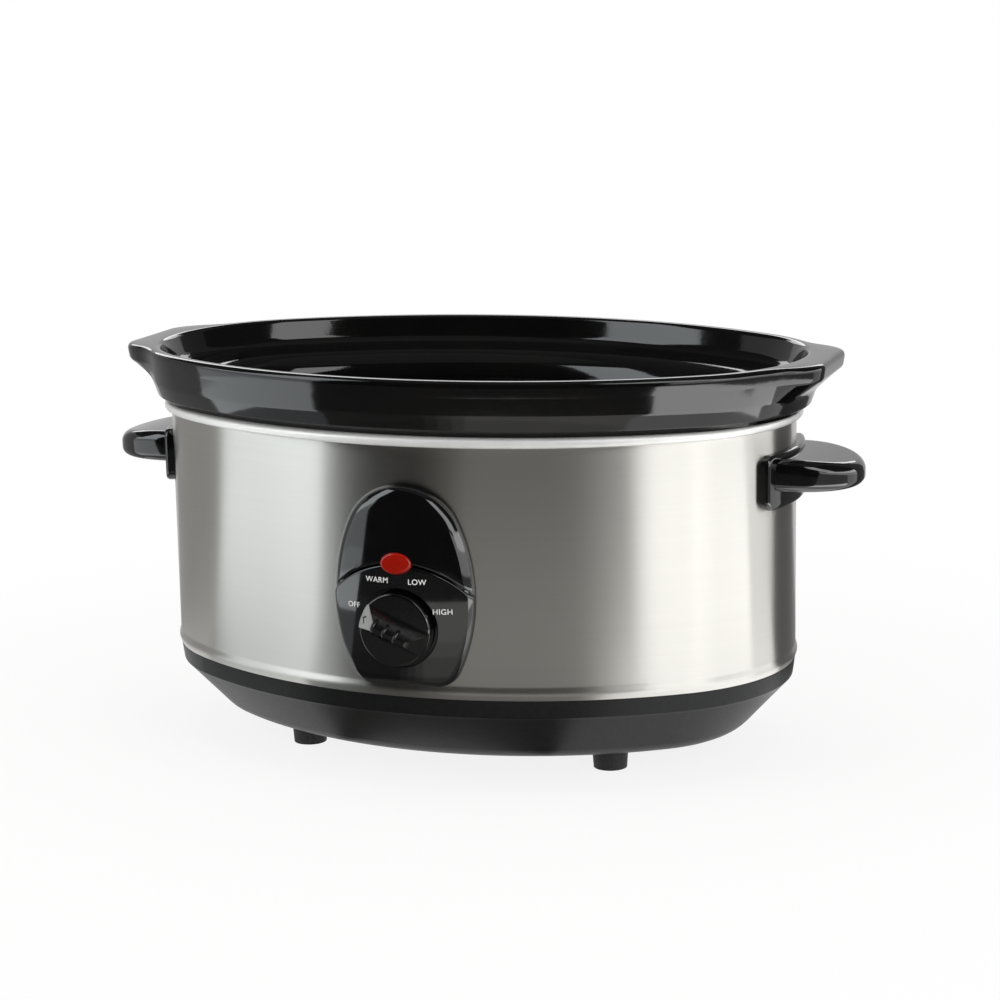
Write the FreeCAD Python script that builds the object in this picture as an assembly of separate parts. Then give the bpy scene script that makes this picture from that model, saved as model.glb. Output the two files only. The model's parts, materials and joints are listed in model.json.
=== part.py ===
import FreeCAD, Part
import math
import os
from FreeCAD import Vector

# Oval slow cooker: a ceramic crock that lifts out of a heated metal pot, a steel wrap round the pot,
# a moulded base on four feet, two end handles and a front control with a rotary switch and a lamp.
# Millimetres. The ovals are drawn about the vertical axis of the cooker, with the front towards -Y.

# Steel wrap: outer oval of two end arcs and two side arcs
wrap_half_length = 165.1
wrap_half_depth = 111.0
wrap_end_radius = 84.8
wrap_height = 127.4
wrap_sheet = 0.8
hem_height = 6.6
hem_bulge = 1.4
hem_round = 4.0
seam_slit = 0.8
seam_strip_width = 14.0
seam_turn = 18.0

# Base and feet
foot_height = 10.8
foot_radius = 9.25
foot_taper = 0.8
foot_end_inset = 83.1
foot_side_inset = 69.0
foot_recess = 5.0
foot_recess_radius = 4.4
base_height = 38.2
base_wall = 2.5
base_band = 9.0
base_band_draft = 1.2
base_crease = 1.4
base_slope_run = 27.0
base_round = 20.0
base_spigot = 6.0
boss_radius = 5.0
foot_boss_height = 11.0
vent_count = 5
vent_pitch = 13.0
vent_width = 4.0
vent_length = 26.0
vent_y = 30.0

# Heated pot with its rolled rim, and the crock that hangs in it
pot_sheet = 1.2
pot_gap = 2.0
pot_floor_rise = 0.8
pot_corner = 12.0
bead_overhang = 3.6
bead_height = 5.4
bead_drop = 2.0
bead_land = 2.0
bead_round = 2.2
bead_under_round = 1.3
rim_end_reach = 12.9
rim_side_reach = 4.5
rim_end_swell = 3.2
rim_rise = 27.9
rim_crest = 7.0
rim_round = 2.2
flange_gap = 3.4
flange_inset = 8.5
flange_break = 3.5
flange_break_drop = 17.5
flange_break_round = 10.0
flange_edge = 1.2
seat_inset = 16.5
seat_draft = 1.0
seat_edge = 0.6
crock_draft = 2.0
crock_wall = 7.5
crock_floor = 9.0
crock_floor_gap = 2.0
crock_corner = 16.0
cavity_draft = 7.0
cavity_corner = 12.0
shoulder_drop = 12.5
shoulder_draft = 4.5
shoulder_bend = 5.0
shoulder_slope = 6.0
shoulder_round = 12.0
lug_reach = 8.5
lug_half_width = 49.0
lug_tip_half_width = 31.0
lug_tip_round = 18.0
lug_thickness = 8.0
lug_root_drop = 18.0
lug_edge = 3.5

# Heater, its clamp, the thermal fuse and the ties that pull pot and base together
heater_thickness = 1.8
heater_low = 17.0
heater_height = 50.0
heater_split = 12.0
clamp_sheet = 0.6
clamp_width = 10.0
clamp_ear = 9.0
clamp_ear_gap = 16.0
clamp_ear_sheet = 1.6
clamp_screw_radius = 2.0
fuse_radius = 2.5
fuse_length = 15.0
fuse_tail_radius = 0.6
fuse_tail_span = 30.0
fuse_x = -45.0
fuse_y = 34.0
fuse_clip_length = 8.0
fuse_clip_width = 14.0
fuse_clip_wall = 1.4
tie_spacing = 80.0
tie_strap_width = 18.0
tie_strap_end = 11.0
tie_strap_sheet = 1.5
tie_radius = 2.5
tie_boss_radius = 9.0
tie_boss_height = 9.0
nut_flats = 8.0
nut_height = 4.0
nut_recess_radius = 6.2
nut_recess = 6.0
reflector_drop = 13.0
reflector_sheet = 0.8
reflector_inset = 9.0
post_end_inset = 73.1
post_side_inset = 85.0
terminal_length = 36.0
terminal_width = 16.0
terminal_height = 14.0
terminal_inset = 56.0
terminal_count = 3
terminal_hole_height = 4.0
lead_radius = 1.2
lead_bend = 5.0
lead_margin = 4.0
lead_heater_height = 8.0
notch_half_width = 16.0
notch_depth = 30.0

# Handles at the two ends
handle_drop = 12.9
handle_plate_height = 30.0
handle_plate_half_width = 35.0
handle_plate_proud = 4.6
handle_plate_round = 5.0
handle_reach = 36.4
handle_root_half_width = 31.0
handle_tip_half_width = 14.0
handle_shoulder = 13.0
handle_shoulder_round = 22.0
handle_tip_round = 22.0
handle_thickness = 16.0
handle_tab_low = 9.0
handle_crown = 4.5
handle_edge = 3.0
handle_wall = 4.0
handle_rib = 10.0
handle_screw_pitch = 8.0
handle_screw_radius = 1.9
handle_screw_length = 14.0
handle_bracket_half_width = 9.0
handle_bracket_height = 22.0
handle_bracket_sheet = 1.2

# Control panel on the front
panel_lift = 1.4
panel_height = 98.0
panel_half_width = 35.8
panel_top_radius = 30.6
panel_side_radius = 90.0
panel_corner_radius = 11.0
panel_bottom_radius = 160.0
panel_rise = 11.0
panel_round_across = 110.0
panel_round_up = 260.0
panel_edge = 3.6
panel_wall = 2.5
panel_side_wall = 4.6
crease_radius = 48.0
crease_top = 60.5
crease_width = 1.0
crease_depth = 0.9
panel_screw_drop = 14.0
panel_screw_low = 7.0
panel_screw_x = 17.0
panel_screw_depth = 4.5
panel_boss_radius = 3.5
window_margin = 2.5
window_round = 4.0

# Knob, switch and lamp
knob_radius = 18.0
knob_height = 29.0
knob_disc = 6.0
knob_grip = 10.0
knob_grip_base = 13.0
knob_grip_ridge = 2.6
knob_grip_end = 9.0
knob_grip_tail = 7.0
knob_pointer_sheet = 1.4
knob_edge = 1.2
knob_gap = 0.5
knob_recess_gap = 1.6
knob_recess_depth = 2.4
knob_rest_angle = 157.5
rib_count = 3
rib_pitch = 4.2
rib_radius = 0.8
shaft_radius = 3.0
shaft_flat = 2.2
shaft_knob_depth = 10.0
switch_size = 28.0
switch_depth = 16.0
switch_boss_radius = 23.0
switch_boss_wall = 4.0
switch_ear = 21.5
switch_ear_sheet = 2.0
switch_ear_height = 9.0
switch_screw_x = 18.0
blade_count = 4
blade_pitch = 6.0
blade_width = 4.0
blade_sheet = 0.8
blade_length = 6.0
switch_room = 2.4
lens_height = 61.0
lens_length = 15.8
lens_width = 10.6
lens_proud = 0.9
lens_flange = 2.0
lens_flange_sheet = 1.2
lens_boss_wall = 5.6
lamp_radius = 2.6
lamp_length = 17.0
lamp_holder_wall = 1.6

# Cord gland at the back
gland_height = 20.0
gland_flange_radius = 9.0
gland_flange_sheet = 3.0
gland_body_radius = 6.0
gland_collar_radius = 7.6
gland_collar_sheet = 2.5
gland_bore_radius = 3.5

# Clearances and screw sizes
seat_gap = 0.05
slip_gap = 0.3
hole_gap = 0.25
running_gap = 0.08
cut_reach = 20.0
screw_radius = 1.5
screw_head_radius = 3.0
screw_head = 2.0
screw_length = 9.0

# Inset at which a wall's section ends and a flat floor takes over
core_inset = 60.0

# Levels above the surface that the cooker stands on
base_bottom = foot_height
floor_top = base_bottom + base_wall
base_top = base_bottom + base_height
wrap_top = base_top + wrap_height
flange_top = wrap_top + pot_sheet
rim_top = flange_top + rim_rise
flange_bottom = flange_top + flange_gap
pot_bottom = base_top + pot_floor_rise
pot_floor = pot_bottom + pot_sheet
crock_bottom = pot_floor + crock_floor_gap
reflector_bottom = base_top - reflector_drop
reflector_top = reflector_bottom + reflector_sheet
strap_bottom = pot_bottom - tie_strap_sheet
terminal_hole_level = floor_top + terminal_hole_height
heater_bottom = base_top + heater_low
panel_low = hem_height + panel_lift
handle_low = wrap_top - handle_drop - handle_plate_height

# Levels out from the front of the wrap, in the panel's own plane
recess_floor = panel_rise - knob_recess_depth
switch_front = recess_floor - switch_boss_wall
lens_seat = panel_rise - lens_boss_wall
knob_back = recess_floor + knob_gap
knob_face = knob_back + knob_disc

# Sizes that follow the wrap: the rim stands out past it, and the pot keeps clear of the switch's blades
rim_half_length = wrap_half_length + rim_end_reach
rim_half_depth = wrap_half_depth + rim_side_reach
rim_end_radius = wrap_end_radius + rim_end_swell
switch_reach = switch_depth + blade_length - switch_front
heater_layers = pot_sheet + heater_thickness + clamp_sheet + 2 * seat_gap
crock_inset = rim_side_reach + switch_reach + switch_room + heater_layers + pot_gap
foot_x = wrap_half_length - foot_end_inset
foot_y = wrap_half_depth - foot_side_inset
post_x = wrap_half_length - post_end_inset
post_y = wrap_half_depth - post_side_inset
terminal_y = wrap_half_depth - terminal_inset
up = Vector(0, 0, 1)


def rounded_outline(corners):
    """Closed wire in the XY plane through corners (x, y, radius), each rounded by its own radius."""
    edges = []
    starts = []
    ends = []
    count = len(corners)
    for index, (x, y, radius) in enumerate(corners):
        here = Vector(x, y, 0)
        before = Vector(*corners[index - 1][:2], 0)
        after = Vector(*corners[(index + 1) % count][:2], 0)
        to_before = (before - here).normalize()
        to_after = (after - here).normalize()
        if radius == 0:
            starts.append(here)
            ends.append(here)
            continue
        half_angle = to_before.getAngle(to_after) / 2
        tangent = radius / math.tan(half_angle)
        starts.append(here + to_before * tangent)
        ends.append(here + to_after * tangent)
        bisector = (to_before + to_after).normalize()
        middle = here + bisector * (radius / math.sin(half_angle) - radius)
        edges.append((index, Part.Arc(starts[-1], middle, ends[-1]).toShape()))
    arcs = dict(edges)
    ordered = []
    for index in range(count):
        if index in arcs:
            ordered.append(arcs[index])
        leave = ends[index]
        arrive = starts[(index + 1) % count]
        if leave.distanceToPoint(arrive) > 1e-6:
            ordered.append(Part.LineSegment(leave, arrive).toShape())
    return Part.Wire(ordered)


def plan_prism(corners, low, high):
    """Upright prism over a rounded plan outline."""
    face = Part.Face(rounded_outline(corners))
    face.translate(Vector(0, 0, low))
    return face.extrude(Vector(0, 0, high - low))


def turned(shape, axis, degrees):
    copy = shape.copy()
    copy.rotate(Vector(0, 0, 0), axis, degrees)
    return copy


def moved(shape, x, y, z):
    copy = shape.copy()
    copy.translate(Vector(x, y, z))
    return copy


def joined(first, *others):
    return first.fuse(list(others)).removeSplitter()


def cylinder(radius, low, high, x=0, y=0):
    return Part.makeCylinder(radius, high - low, Vector(x, y, low), up)


def block(x_low, x_high, y_low, y_high, z_low, z_high):
    corner = Vector(x_low, y_low, z_low)
    return Part.makeBox(x_high - x_low, y_high - y_low, z_high - z_low, corner)


def group(solids):
    return Part.makeCompound(solids)


class Oval:
    """Oval of two end arcs and two side arcs that meet smoothly."""

    def __init__(self, half_length, half_depth, end_radius):
        self.half_length = half_length
        self.half_depth = half_depth
        self.end_radius = end_radius
        run = half_length - end_radius
        spread = half_depth - end_radius
        self.side_radius = (run ** 2 + half_depth ** 2 - end_radius ** 2) / (2 * spread)
        self.end_centre = run
        self.side_centre = half_depth - self.side_radius
        self.meet = math.atan2(-self.side_centre, run)

    def offset(self, distance):
        return Oval(self.half_length + distance, self.half_depth + distance, self.end_radius + distance)

    def arcs(self):
        """Centre, radius, first angle and last angle of each arc, anticlockwise from the right end."""
        meet = self.meet
        ends = Vector(self.end_centre, 0, 0)
        sides = Vector(0, self.side_centre, 0)
        return [
            (ends, self.end_radius, -meet, meet),
            (sides, self.side_radius, meet, math.pi - meet),
            (-ends, self.end_radius, math.pi - meet, math.pi + meet),
            (-sides, self.side_radius, math.pi + meet, 2 * math.pi - meet),
        ]

    def slab(self, low, high):
        edges = []
        for centre, radius, first, last in self.arcs():
            circle = Part.Circle(centre + Vector(0, 0, low), up, radius)
            edges.append(Part.Arc(circle, first, last).toShape())
        return Part.Face(Part.Wire(edges)).extrude(Vector(0, 0, high - low))

    def ring(self, corners):
        """Solid of one section, given as (offset, height, radius) corners, carried round the oval."""
        section = Part.Face(rounded_outline(corners))
        section.rotate(Vector(0, 0, 0), Vector(1, 0, 0), 90)
        pieces = []
        for centre, radius, first, last in self.arcs():
            start = section.copy()
            start.translate(Vector(radius, 0, 0))
            start.rotate(Vector(0, 0, 0), up, math.degrees(first))
            start.translate(centre)
            pieces.append(start.revolve(centre, up, math.degrees(last - first)))
        return joined(*pieces)

    def front_y(self, x):
        return -(self.side_centre + math.sqrt(self.side_radius ** 2 - x ** 2))

    def end_x(self, y):
        return self.end_centre + math.sqrt(self.end_radius ** 2 - y ** 2)


wrap_oval = Oval(wrap_half_length, wrap_half_depth, wrap_end_radius)
rim_oval = Oval(rim_half_length, rim_half_depth, rim_end_radius)
wrap_inside = wrap_oval.offset(-wrap_sheet)
pot_inset = crock_inset - pot_gap
heater_inset = pot_inset - pot_sheet - seat_gap
clamp_inset = heater_inset - heater_thickness - seat_gap
clamp_oval = rim_oval.offset(-clamp_inset)
foot_places = [(sx * foot_x, sy * foot_y) for sx in (-1, 1) for sy in (-1, 1)]
post_places = [(sx * post_x, sy * post_y) for sx in (-1, 1) for sy in (-1, 1)]
tie_places = [-tie_spacing / 2, tie_spacing / 2]


def front(shape, height):
    """Stands a shape drawn face up on the front of the wrap, at a height above the base's top."""
    placed = turned(shape, Vector(1, 0, 0), 90)
    placed.translate(Vector(0, -wrap_half_depth, base_top + height))
    return placed


def screw(radius, length, head_radius, head):
    """Screw along Z with the underside of its head at zero and its shank pointing up."""
    return joined(cylinder(radius, 0, length), cylinder(head_radius, -head, 0))


def make_crock():
    drop_line = rim_top - shoulder_drop
    inner = rim_crest + shoulder_draft
    cavity = crock_inset + crock_wall
    body = rim_oval.ring([
        (0, rim_top, rim_round),
        (-flange_break, rim_top - flange_break_drop, flange_break_round),
        (-flange_inset, flange_bottom, flange_edge),
        (seat_draft - seat_inset, flange_bottom, flange_edge),
        (-seat_inset, flange_top, seat_edge),
        (-crock_inset, flange_top, seat_edge),
        (-crock_inset - crock_draft, crock_bottom, crock_corner),
        (-core_inset, crock_bottom, 0),
        (-core_inset, crock_bottom + crock_floor, 0),
        (-cavity - cavity_draft, crock_bottom + crock_floor, cavity_corner),
        (-cavity, drop_line - shoulder_slope, shoulder_round),
        (-inner, drop_line, shoulder_bend),
        (-rim_crest, rim_top, rim_round),
    ])
    floor = rim_oval.offset(-core_inset).slab(crock_bottom, crock_bottom + crock_floor)
    tip = rim_half_length + lug_reach
    root = rim_oval.end_x(lug_half_width)
    inboard = root - core_inset / 2
    plan = [
        (inboard, -lug_half_width, 0),
        (root, -lug_half_width, lug_edge),
        (tip, -lug_tip_half_width, lug_tip_round),
        (tip, lug_tip_half_width, lug_tip_round),
        (root, lug_half_width, lug_edge),
        (inboard, lug_half_width, 0),
    ]
    side = [
        (inboard, -rim_top, 0),
        (tip, -rim_top, lug_edge),
        (tip, lug_thickness - rim_top, lug_edge),
        (rim_half_length - flange_break, lug_root_drop - rim_top, lug_edge),
        (inboard, lug_root_drop - rim_top, 0),
    ]
    above = plan_prism(plan, rim_top - 2 * lug_root_drop, rim_top)
    beside = plan_prism(side, -lug_half_width, lug_half_width)
    lug = above.common(turned(beside, Vector(1, 0, 0), -90))
    lug = lug.cut(rim_oval.offset(-rim_crest * 0.6).slab(rim_top - 3 * lug_root_drop, rim_top + 1))
    return joined(body, floor, lug, turned(lug, up, 180))


def make_pot():
    wall = rim_oval.ring([
        (-pot_inset, flange_top, 0),
        (-pot_inset, pot_floor, pot_corner),
        (-core_inset, pot_floor, 0),
        (-core_inset, pot_bottom, 0),
        (pot_sheet - pot_inset, pot_bottom, pot_corner + pot_sheet),
        (pot_sheet - pot_inset, flange_top, 0),
    ])
    floor = rim_oval.offset(-core_inset).slab(pot_bottom, pot_floor)
    hole = rim_oval.offset(-pot_inset).slab(wrap_top - 1, flange_top + 1)
    flange = wrap_oval.offset(slip_gap).slab(wrap_top, flange_top).cut(hole)
    bead_bottom = wrap_top - bead_drop
    bead = wrap_oval.ring([
        (slip_gap, bead_bottom, 0),
        (bead_overhang, bead_bottom, bead_under_round),
        (bead_overhang, bead_bottom + bead_height, bead_round),
        (-bead_land, bead_bottom + bead_height, bead_under_round),
        (-bead_land, wrap_top, 0),
        (slip_gap, wrap_top, 0),
    ])
    return joined(wall, floor, flange, bead)


def seam_cutter(width):
    """Thin upright slice through the back of the wrap, turned away from the middle."""
    box = block(-width / 2, width / 2, wrap_half_depth - cut_reach, wrap_half_depth + cut_reach,
                base_top - 1, wrap_top + 1)
    box.rotate(Vector(0, wrap_oval.side_centre, 0), up, seam_turn)
    return box


def make_wrap():
    hem_top = base_top + hem_height
    hem_middle = base_top + hem_height / 2
    wrap = wrap_oval.ring([
        (0, wrap_top, 0),
        (0, hem_top, hem_round),
        (hem_bulge, hem_middle, hem_round),
        (0, base_top, 0),
        (-wrap_sheet, base_top, 0),
        (hem_bulge - wrap_sheet, hem_middle, hem_round - wrap_sheet),
        (-wrap_sheet, hem_top, hem_round + wrap_sheet),
        (-wrap_sheet, wrap_top, 0),
    ])
    window_low = knob_height - switch_size / 2 - window_margin
    window_high = lens_height + lens_width / 2 + lens_flange + window_margin
    window_half_width = switch_ear + window_margin
    window = plan_prism([
        (-window_half_width, window_low, window_round),
        (window_half_width, window_low, window_round),
        (window_half_width, window_high, window_round),
        (-window_half_width, window_high, window_round),
    ], -cut_reach, cut_reach)
    cuts = [front(window, panel_low), seam_cutter(seam_slit)]
    for x, height in panel_screw_places:
        cuts.append(front(cylinder(screw_radius + hole_gap, -cut_reach, cut_reach, x, height), panel_low))
    for side in (-1, 1):
        for height in handle_screw_heights:
            start = Vector(side * (wrap_half_length - cut_reach / 2), 0, height)
            hole = Part.makeCylinder(handle_screw_radius + hole_gap, cut_reach, start, Vector(side, 0, 0))
            cuts.append(hole)
    start = Vector(0, wrap_half_depth - cut_reach, base_top + gland_height)
    cuts.append(Part.makeCylinder(gland_body_radius + hole_gap, 2 * cut_reach, start, Vector(0, 1, 0)))
    return wrap.cut(group(cuts))


def make_seam_strip():
    low = base_top + base_spigot + seat_gap
    high = wrap_top - seat_gap
    strip = wrap_inside.offset(-seat_gap).slab(low, high).cut(
        wrap_inside.offset(-seat_gap - wrap_sheet).slab(low - 1, high + 1))
    return strip.common(seam_cutter(seam_strip_width))


def base_section(inset, floor):
    """Corners of the base's outer face, or of its inner face when inset by the wall."""
    crease = base_top - base_band
    run = base_slope_run
    return [
        (-base_band_draft - inset, crease, 0.6),
        (-base_band_draft - base_crease - inset, crease - base_crease, 3.0),
        (-base_band_draft - run - inset * 0.4, floor, base_round - inset),
        (-core_inset, floor, 0),
    ]


def make_base():
    outside = [(0, base_top, 0.4)] + base_section(0, base_bottom)
    inside = base_section(base_wall, floor_top)[::-1]
    spigot_out = -wrap_sheet - slip_gap
    spigot_in = -base_band_draft - base_wall
    rim = [
        (spigot_in, base_top + base_spigot, 0.6),
        (spigot_out, base_top + base_spigot, 0.6),
        (spigot_out, base_top, 0),
    ]
    shell = wrap_oval.ring(outside + inside + rim)
    adds = [wrap_oval.offset(-core_inset).slab(base_bottom, floor_top)]
    cuts = []
    pilot = screw_radius + seat_gap
    for x, y in foot_places:
        adds.append(cylinder(boss_radius, floor_top - base_wall / 2, floor_top + foot_boss_height, x, y))
        adds.append(cylinder(foot_radius + 0.5, base_bottom, floor_top, x, y))
        cuts.append(cylinder(pilot, base_bottom - 1, floor_top + foot_boss_height - 1, x, y))
    for x, y in post_places:
        adds.append(cylinder(boss_radius, floor_top - base_wall / 2, reflector_bottom, x, y))
        cuts.append(cylinder(pilot, reflector_bottom - screw_length - 1, reflector_bottom + 1, x, y))
    for x in tie_places:
        adds.append(cylinder(tie_boss_radius, floor_top - base_wall / 2, floor_top + tie_boss_height, x))
        cuts.append(cylinder(nut_recess_radius, base_bottom - 1, base_bottom + nut_recess, x))
        cuts.append(cylinder(tie_radius + hole_gap, base_bottom, floor_top + tie_boss_height + 1, x))
    for index in range(vent_count):
        x = (index - (vent_count - 1) / 2) * vent_pitch
        cuts.append(block(x - vent_width / 2, x + vent_width / 2, -vent_y - vent_length / 2,
                          vent_length / 2 - vent_y, base_bottom - 1, floor_top + 1))
    return joined(shell, *adds).cut(group(cuts))


def make_foot(x, y):
    edge = foot_radius - foot_taper
    profile = Part.Face(Part.makePolygon([
        Vector(0, 0, 0), Vector(edge, 0, 0), Vector(foot_radius, 0, foot_height),
        Vector(0, 0, foot_height), Vector(0, 0, 0)]))
    body = profile.revolve(Vector(0, 0, 0), up, 360)
    body = body.cut(cylinder(foot_recess_radius, -1, foot_recess))
    body = body.cut(cylinder(screw_radius + hole_gap, 0, foot_height + 1))
    return moved(body, x, y, 0)


def make_foot_screws():
    length = base_bottom + base_wall + foot_boss_height - foot_recess - 2
    one = screw(screw_radius, length, screw_head_radius, screw_head)
    return group([moved(one, x, y, foot_recess) for x, y in foot_places])


def make_reflector():
    plate = wrap_oval.offset(-reflector_inset).slab(reflector_bottom, reflector_top)
    cuts = [cylinder(screw_radius + hole_gap, reflector_bottom - 1, reflector_top + 1, x, y)
            for x, y in post_places]
    cuts += [cylinder(tie_radius + slip_gap, reflector_bottom - 1, reflector_top + 1, x) for x in tie_places]
    edge = wrap_half_depth - reflector_inset
    for side in (-1, 1):
        notch = block(-notch_half_width, notch_half_width, edge - notch_depth, edge + 1,
                      reflector_bottom - 1, reflector_top + 1)
        cuts.append(turned(notch, up, 90 - 90 * side))
    return plate.cut(group(cuts))


def make_reflector_screws():
    one = turned(screw(screw_radius, screw_length, screw_head_radius, screw_head), Vector(1, 0, 0), 180)
    return group([moved(one, x, y, reflector_top) for x, y in post_places])


def make_tie_strap():
    half = tie_spacing / 2 + tie_strap_end
    return block(-half, half, -tie_strap_width / 2, tie_strap_width / 2, strap_bottom, pot_bottom)


def make_tie_rods():
    low = base_bottom + nut_recess - nut_height - 1
    return group([cylinder(tie_radius, low, strap_bottom, x) for x in tie_places])


def make_tie_nuts():
    corner = nut_flats / math.sqrt(3)
    points = [Vector(corner * math.cos(math.pi / 3 * k), corner * math.sin(math.pi / 3 * k), 0)
              for k in range(6)]
    top = base_bottom + nut_recess
    nut = Part.Face(Part.makePolygon(points + points[:1])).extrude(Vector(0, 0, nut_height))
    nut = nut.cut(cylinder(tie_radius + seat_gap, -1, nut_height + 1))
    return group([moved(nut, x, 0, top - nut_height) for x in tie_places])


def oval_band(outer, inner, low, high):
    return outer.slab(low, high).cut(inner.slab(low - 1, high + 1))


def make_heater():
    inner = rim_oval.offset(-heater_inset)
    band = oval_band(inner.offset(heater_thickness), inner, heater_bottom, heater_bottom + heater_height)
    half = heater_split / 2
    top = heater_bottom + heater_height
    return band.cut(block(-half, half, 0, rim_half_depth, heater_bottom - 1, top + 1))


def clamp_levels():
    middle = heater_bottom + heater_height / 2
    return middle - clamp_width / 2, middle + clamp_width / 2


def make_clamp():
    low, high = clamp_levels()
    strap = oval_band(clamp_oval.offset(clamp_sheet), clamp_oval, low, high)
    half = clamp_ear_gap / 2
    strap = strap.cut(block(-half, half, 0, rim_half_depth, low - 1, high + 1))
    foot = -clamp_oval.front_y(half)
    tip = foot + clamp_sheet + clamp_ear
    ears = [block(half, half + clamp_ear_sheet, foot, tip, low, high),
            block(-half - clamp_ear_sheet, -half, foot, tip, low, high)]
    hole = Part.makeCylinder(clamp_screw_radius + hole_gap, 4 * half,
                             Vector(-2 * half, tip - clamp_ear / 2, (low + high) / 2), Vector(1, 0, 0))
    return joined(strap, *ears).cut(hole)


def make_clamp_screw():
    low, high = clamp_levels()
    half = clamp_ear_gap / 2 + clamp_ear_sheet
    tip = -clamp_oval.front_y(clamp_ear_gap / 2) + clamp_sheet + clamp_ear
    one = screw(clamp_screw_radius, 2 * half + 4, screw_head_radius, screw_head)
    return moved(turned(one, Vector(0, 1, 0), 90), -half, tip - clamp_ear / 2, (low + high) / 2)


def make_fuse_clip():
    drop = 2 * (fuse_radius + fuse_clip_wall)
    half = fuse_clip_length / 2
    wide = fuse_radius + fuse_clip_wall
    saddle = block(-half, half, -wide, wide, -drop, 0)
    flange = block(-half, half, -fuse_clip_width / 2, fuse_clip_width / 2, -fuse_clip_wall, 0)
    bore = Part.makeCylinder(fuse_radius + seat_gap, 4 * half, Vector(-2 * half, 0, -drop / 2),
                             Vector(1, 0, 0))
    return moved(joined(saddle, flange).cut(bore), fuse_x, fuse_y, pot_bottom)


def make_fuse():
    height = pot_bottom - fuse_radius - fuse_clip_wall
    barrel = Part.makeCylinder(fuse_radius, fuse_length, Vector(fuse_x - fuse_length / 2, fuse_y, height),
                               Vector(1, 0, 0))
    tail = Part.makeCylinder(fuse_tail_radius, fuse_tail_span,
                             Vector(fuse_x - fuse_tail_span / 2, fuse_y, height), Vector(1, 0, 0))
    return joined(barrel, tail)


def terminal_xs():
    pitch = terminal_length / terminal_count
    return [(index - (terminal_count - 1) / 2) * pitch for index in range(terminal_count)]


def make_terminal_block():
    body = block(-terminal_length / 2, terminal_length / 2, terminal_y - terminal_width / 2,
                 terminal_y + terminal_width / 2, floor_top, floor_top + terminal_height)
    top = floor_top + terminal_height
    cuts = []
    for x in terminal_xs():
        cuts.append(cylinder(screw_head_radius + hole_gap, top - 2 * screw_head, top + 1, x, terminal_y))
        cuts.append(Part.makeCylinder(screw_radius, terminal_width + 2,
                                      Vector(x, terminal_y - terminal_width / 2 - 1, terminal_hole_level),
                                      Vector(0, 1, 0)))
    return body.cut(group(cuts))


def make_terminal_screws():
    seat = floor_top + terminal_height - 2 * screw_head
    return group([cylinder(screw_head_radius, seat, seat + screw_head, x, terminal_y) for x in terminal_xs()])


def lead(points):
    """Round wire along straight runs joined by tangent arcs."""
    edges = []
    start = points[0]
    for before, here, after in zip(points, points[1:], points[2:]):
        to_before = (before - here).normalize()
        to_after = (after - here).normalize()
        half_angle = to_before.getAngle(to_after) / 2
        tangent = lead_bend / math.tan(half_angle)
        bisector = (to_before + to_after).normalize()
        enter = here + to_before * tangent
        leave = here + to_after * tangent
        middle = here + bisector * (lead_bend / math.sin(half_angle) - lead_bend)
        edges.append(Part.LineSegment(start, enter).toShape())
        edges.append(Part.Arc(enter, middle, leave).toShape())
        start = leave
    edges.append(Part.LineSegment(start, points[-1]).toShape())
    section = Part.Wire([Part.Circle(points[0], points[1] - points[0], lead_radius).toShape()])
    return Part.Wire(edges).makePipeShell([section], True, False)


reflector_edge = wrap_half_depth - reflector_inset
lead_pass = reflector_edge - notch_depth + lead_margin
lead_rise = reflector_edge - lead_margin


def make_heater_leads():
    solids = []
    for x in (terminal_xs()[0], terminal_xs()[-1]):
        heater_face = -rim_oval.offset(heater_thickness - heater_inset).front_y(abs(x) + lead_radius)
        level = heater_bottom + lead_heater_height
        solids.append(lead([
            Vector(x, heater_face + slip_gap, level),
            Vector(x, lead_rise, level),
            Vector(x, lead_rise, pot_bottom - lead_margin),
            Vector(x, lead_pass, reflector_bottom - lead_margin),
            Vector(x, lead_pass, terminal_hole_level),
            Vector(x, terminal_y + lead_margin, terminal_hole_level),
        ]))
    return group(solids)


def make_switch_lead():
    blade = switch_front - switch_depth - blade_length / 2
    blade_x = blade_pitch / 2
    blade_y = -wrap_half_depth - blade
    blade_low = base_top + panel_low + knob_height - blade_sheet / 2 - seat_gap
    return lead([
        Vector(0, terminal_y - lead_margin, terminal_hole_level),
        Vector(0, -lead_pass / 2, terminal_hole_level),
        Vector(blade_x, -lead_pass, terminal_hole_level),
        Vector(blade_x, -lead_pass, reflector_bottom - lead_margin),
        Vector(blade_x, blade_y, pot_bottom - lead_margin),
        Vector(blade_x, blade_y, blade_low),
    ])


handle_tab_bottom = handle_low + handle_tab_low
handle_tab_top = handle_tab_bottom + handle_thickness
handle_screw_middle = handle_tab_bottom + handle_thickness / 2
handle_screw_heights = [handle_screw_middle - handle_screw_pitch / 2,
                        handle_screw_middle + handle_screw_pitch / 2]
handle_face = wrap_oval.offset(seat_gap)
panel_screw_places = [(0, panel_height - panel_screw_drop), (-panel_screw_x, panel_screw_low),
                      (panel_screw_x, panel_screw_low)]


def tab_plan(inset):
    tip = wrap_half_length + handle_reach - inset
    shoulder = wrap_half_length + handle_shoulder
    root = handle_root_half_width - inset
    end = handle_tip_half_width - inset
    start = wrap_half_length - cut_reach
    corner = handle_tip_round - inset
    return [
        (start, -root, 0),
        (shoulder, -root, handle_shoulder_round),
        (tip, -end, corner),
        (tip, end, corner),
        (shoulder, root, handle_shoulder_round),
        (start, root, 0),
    ]


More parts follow.
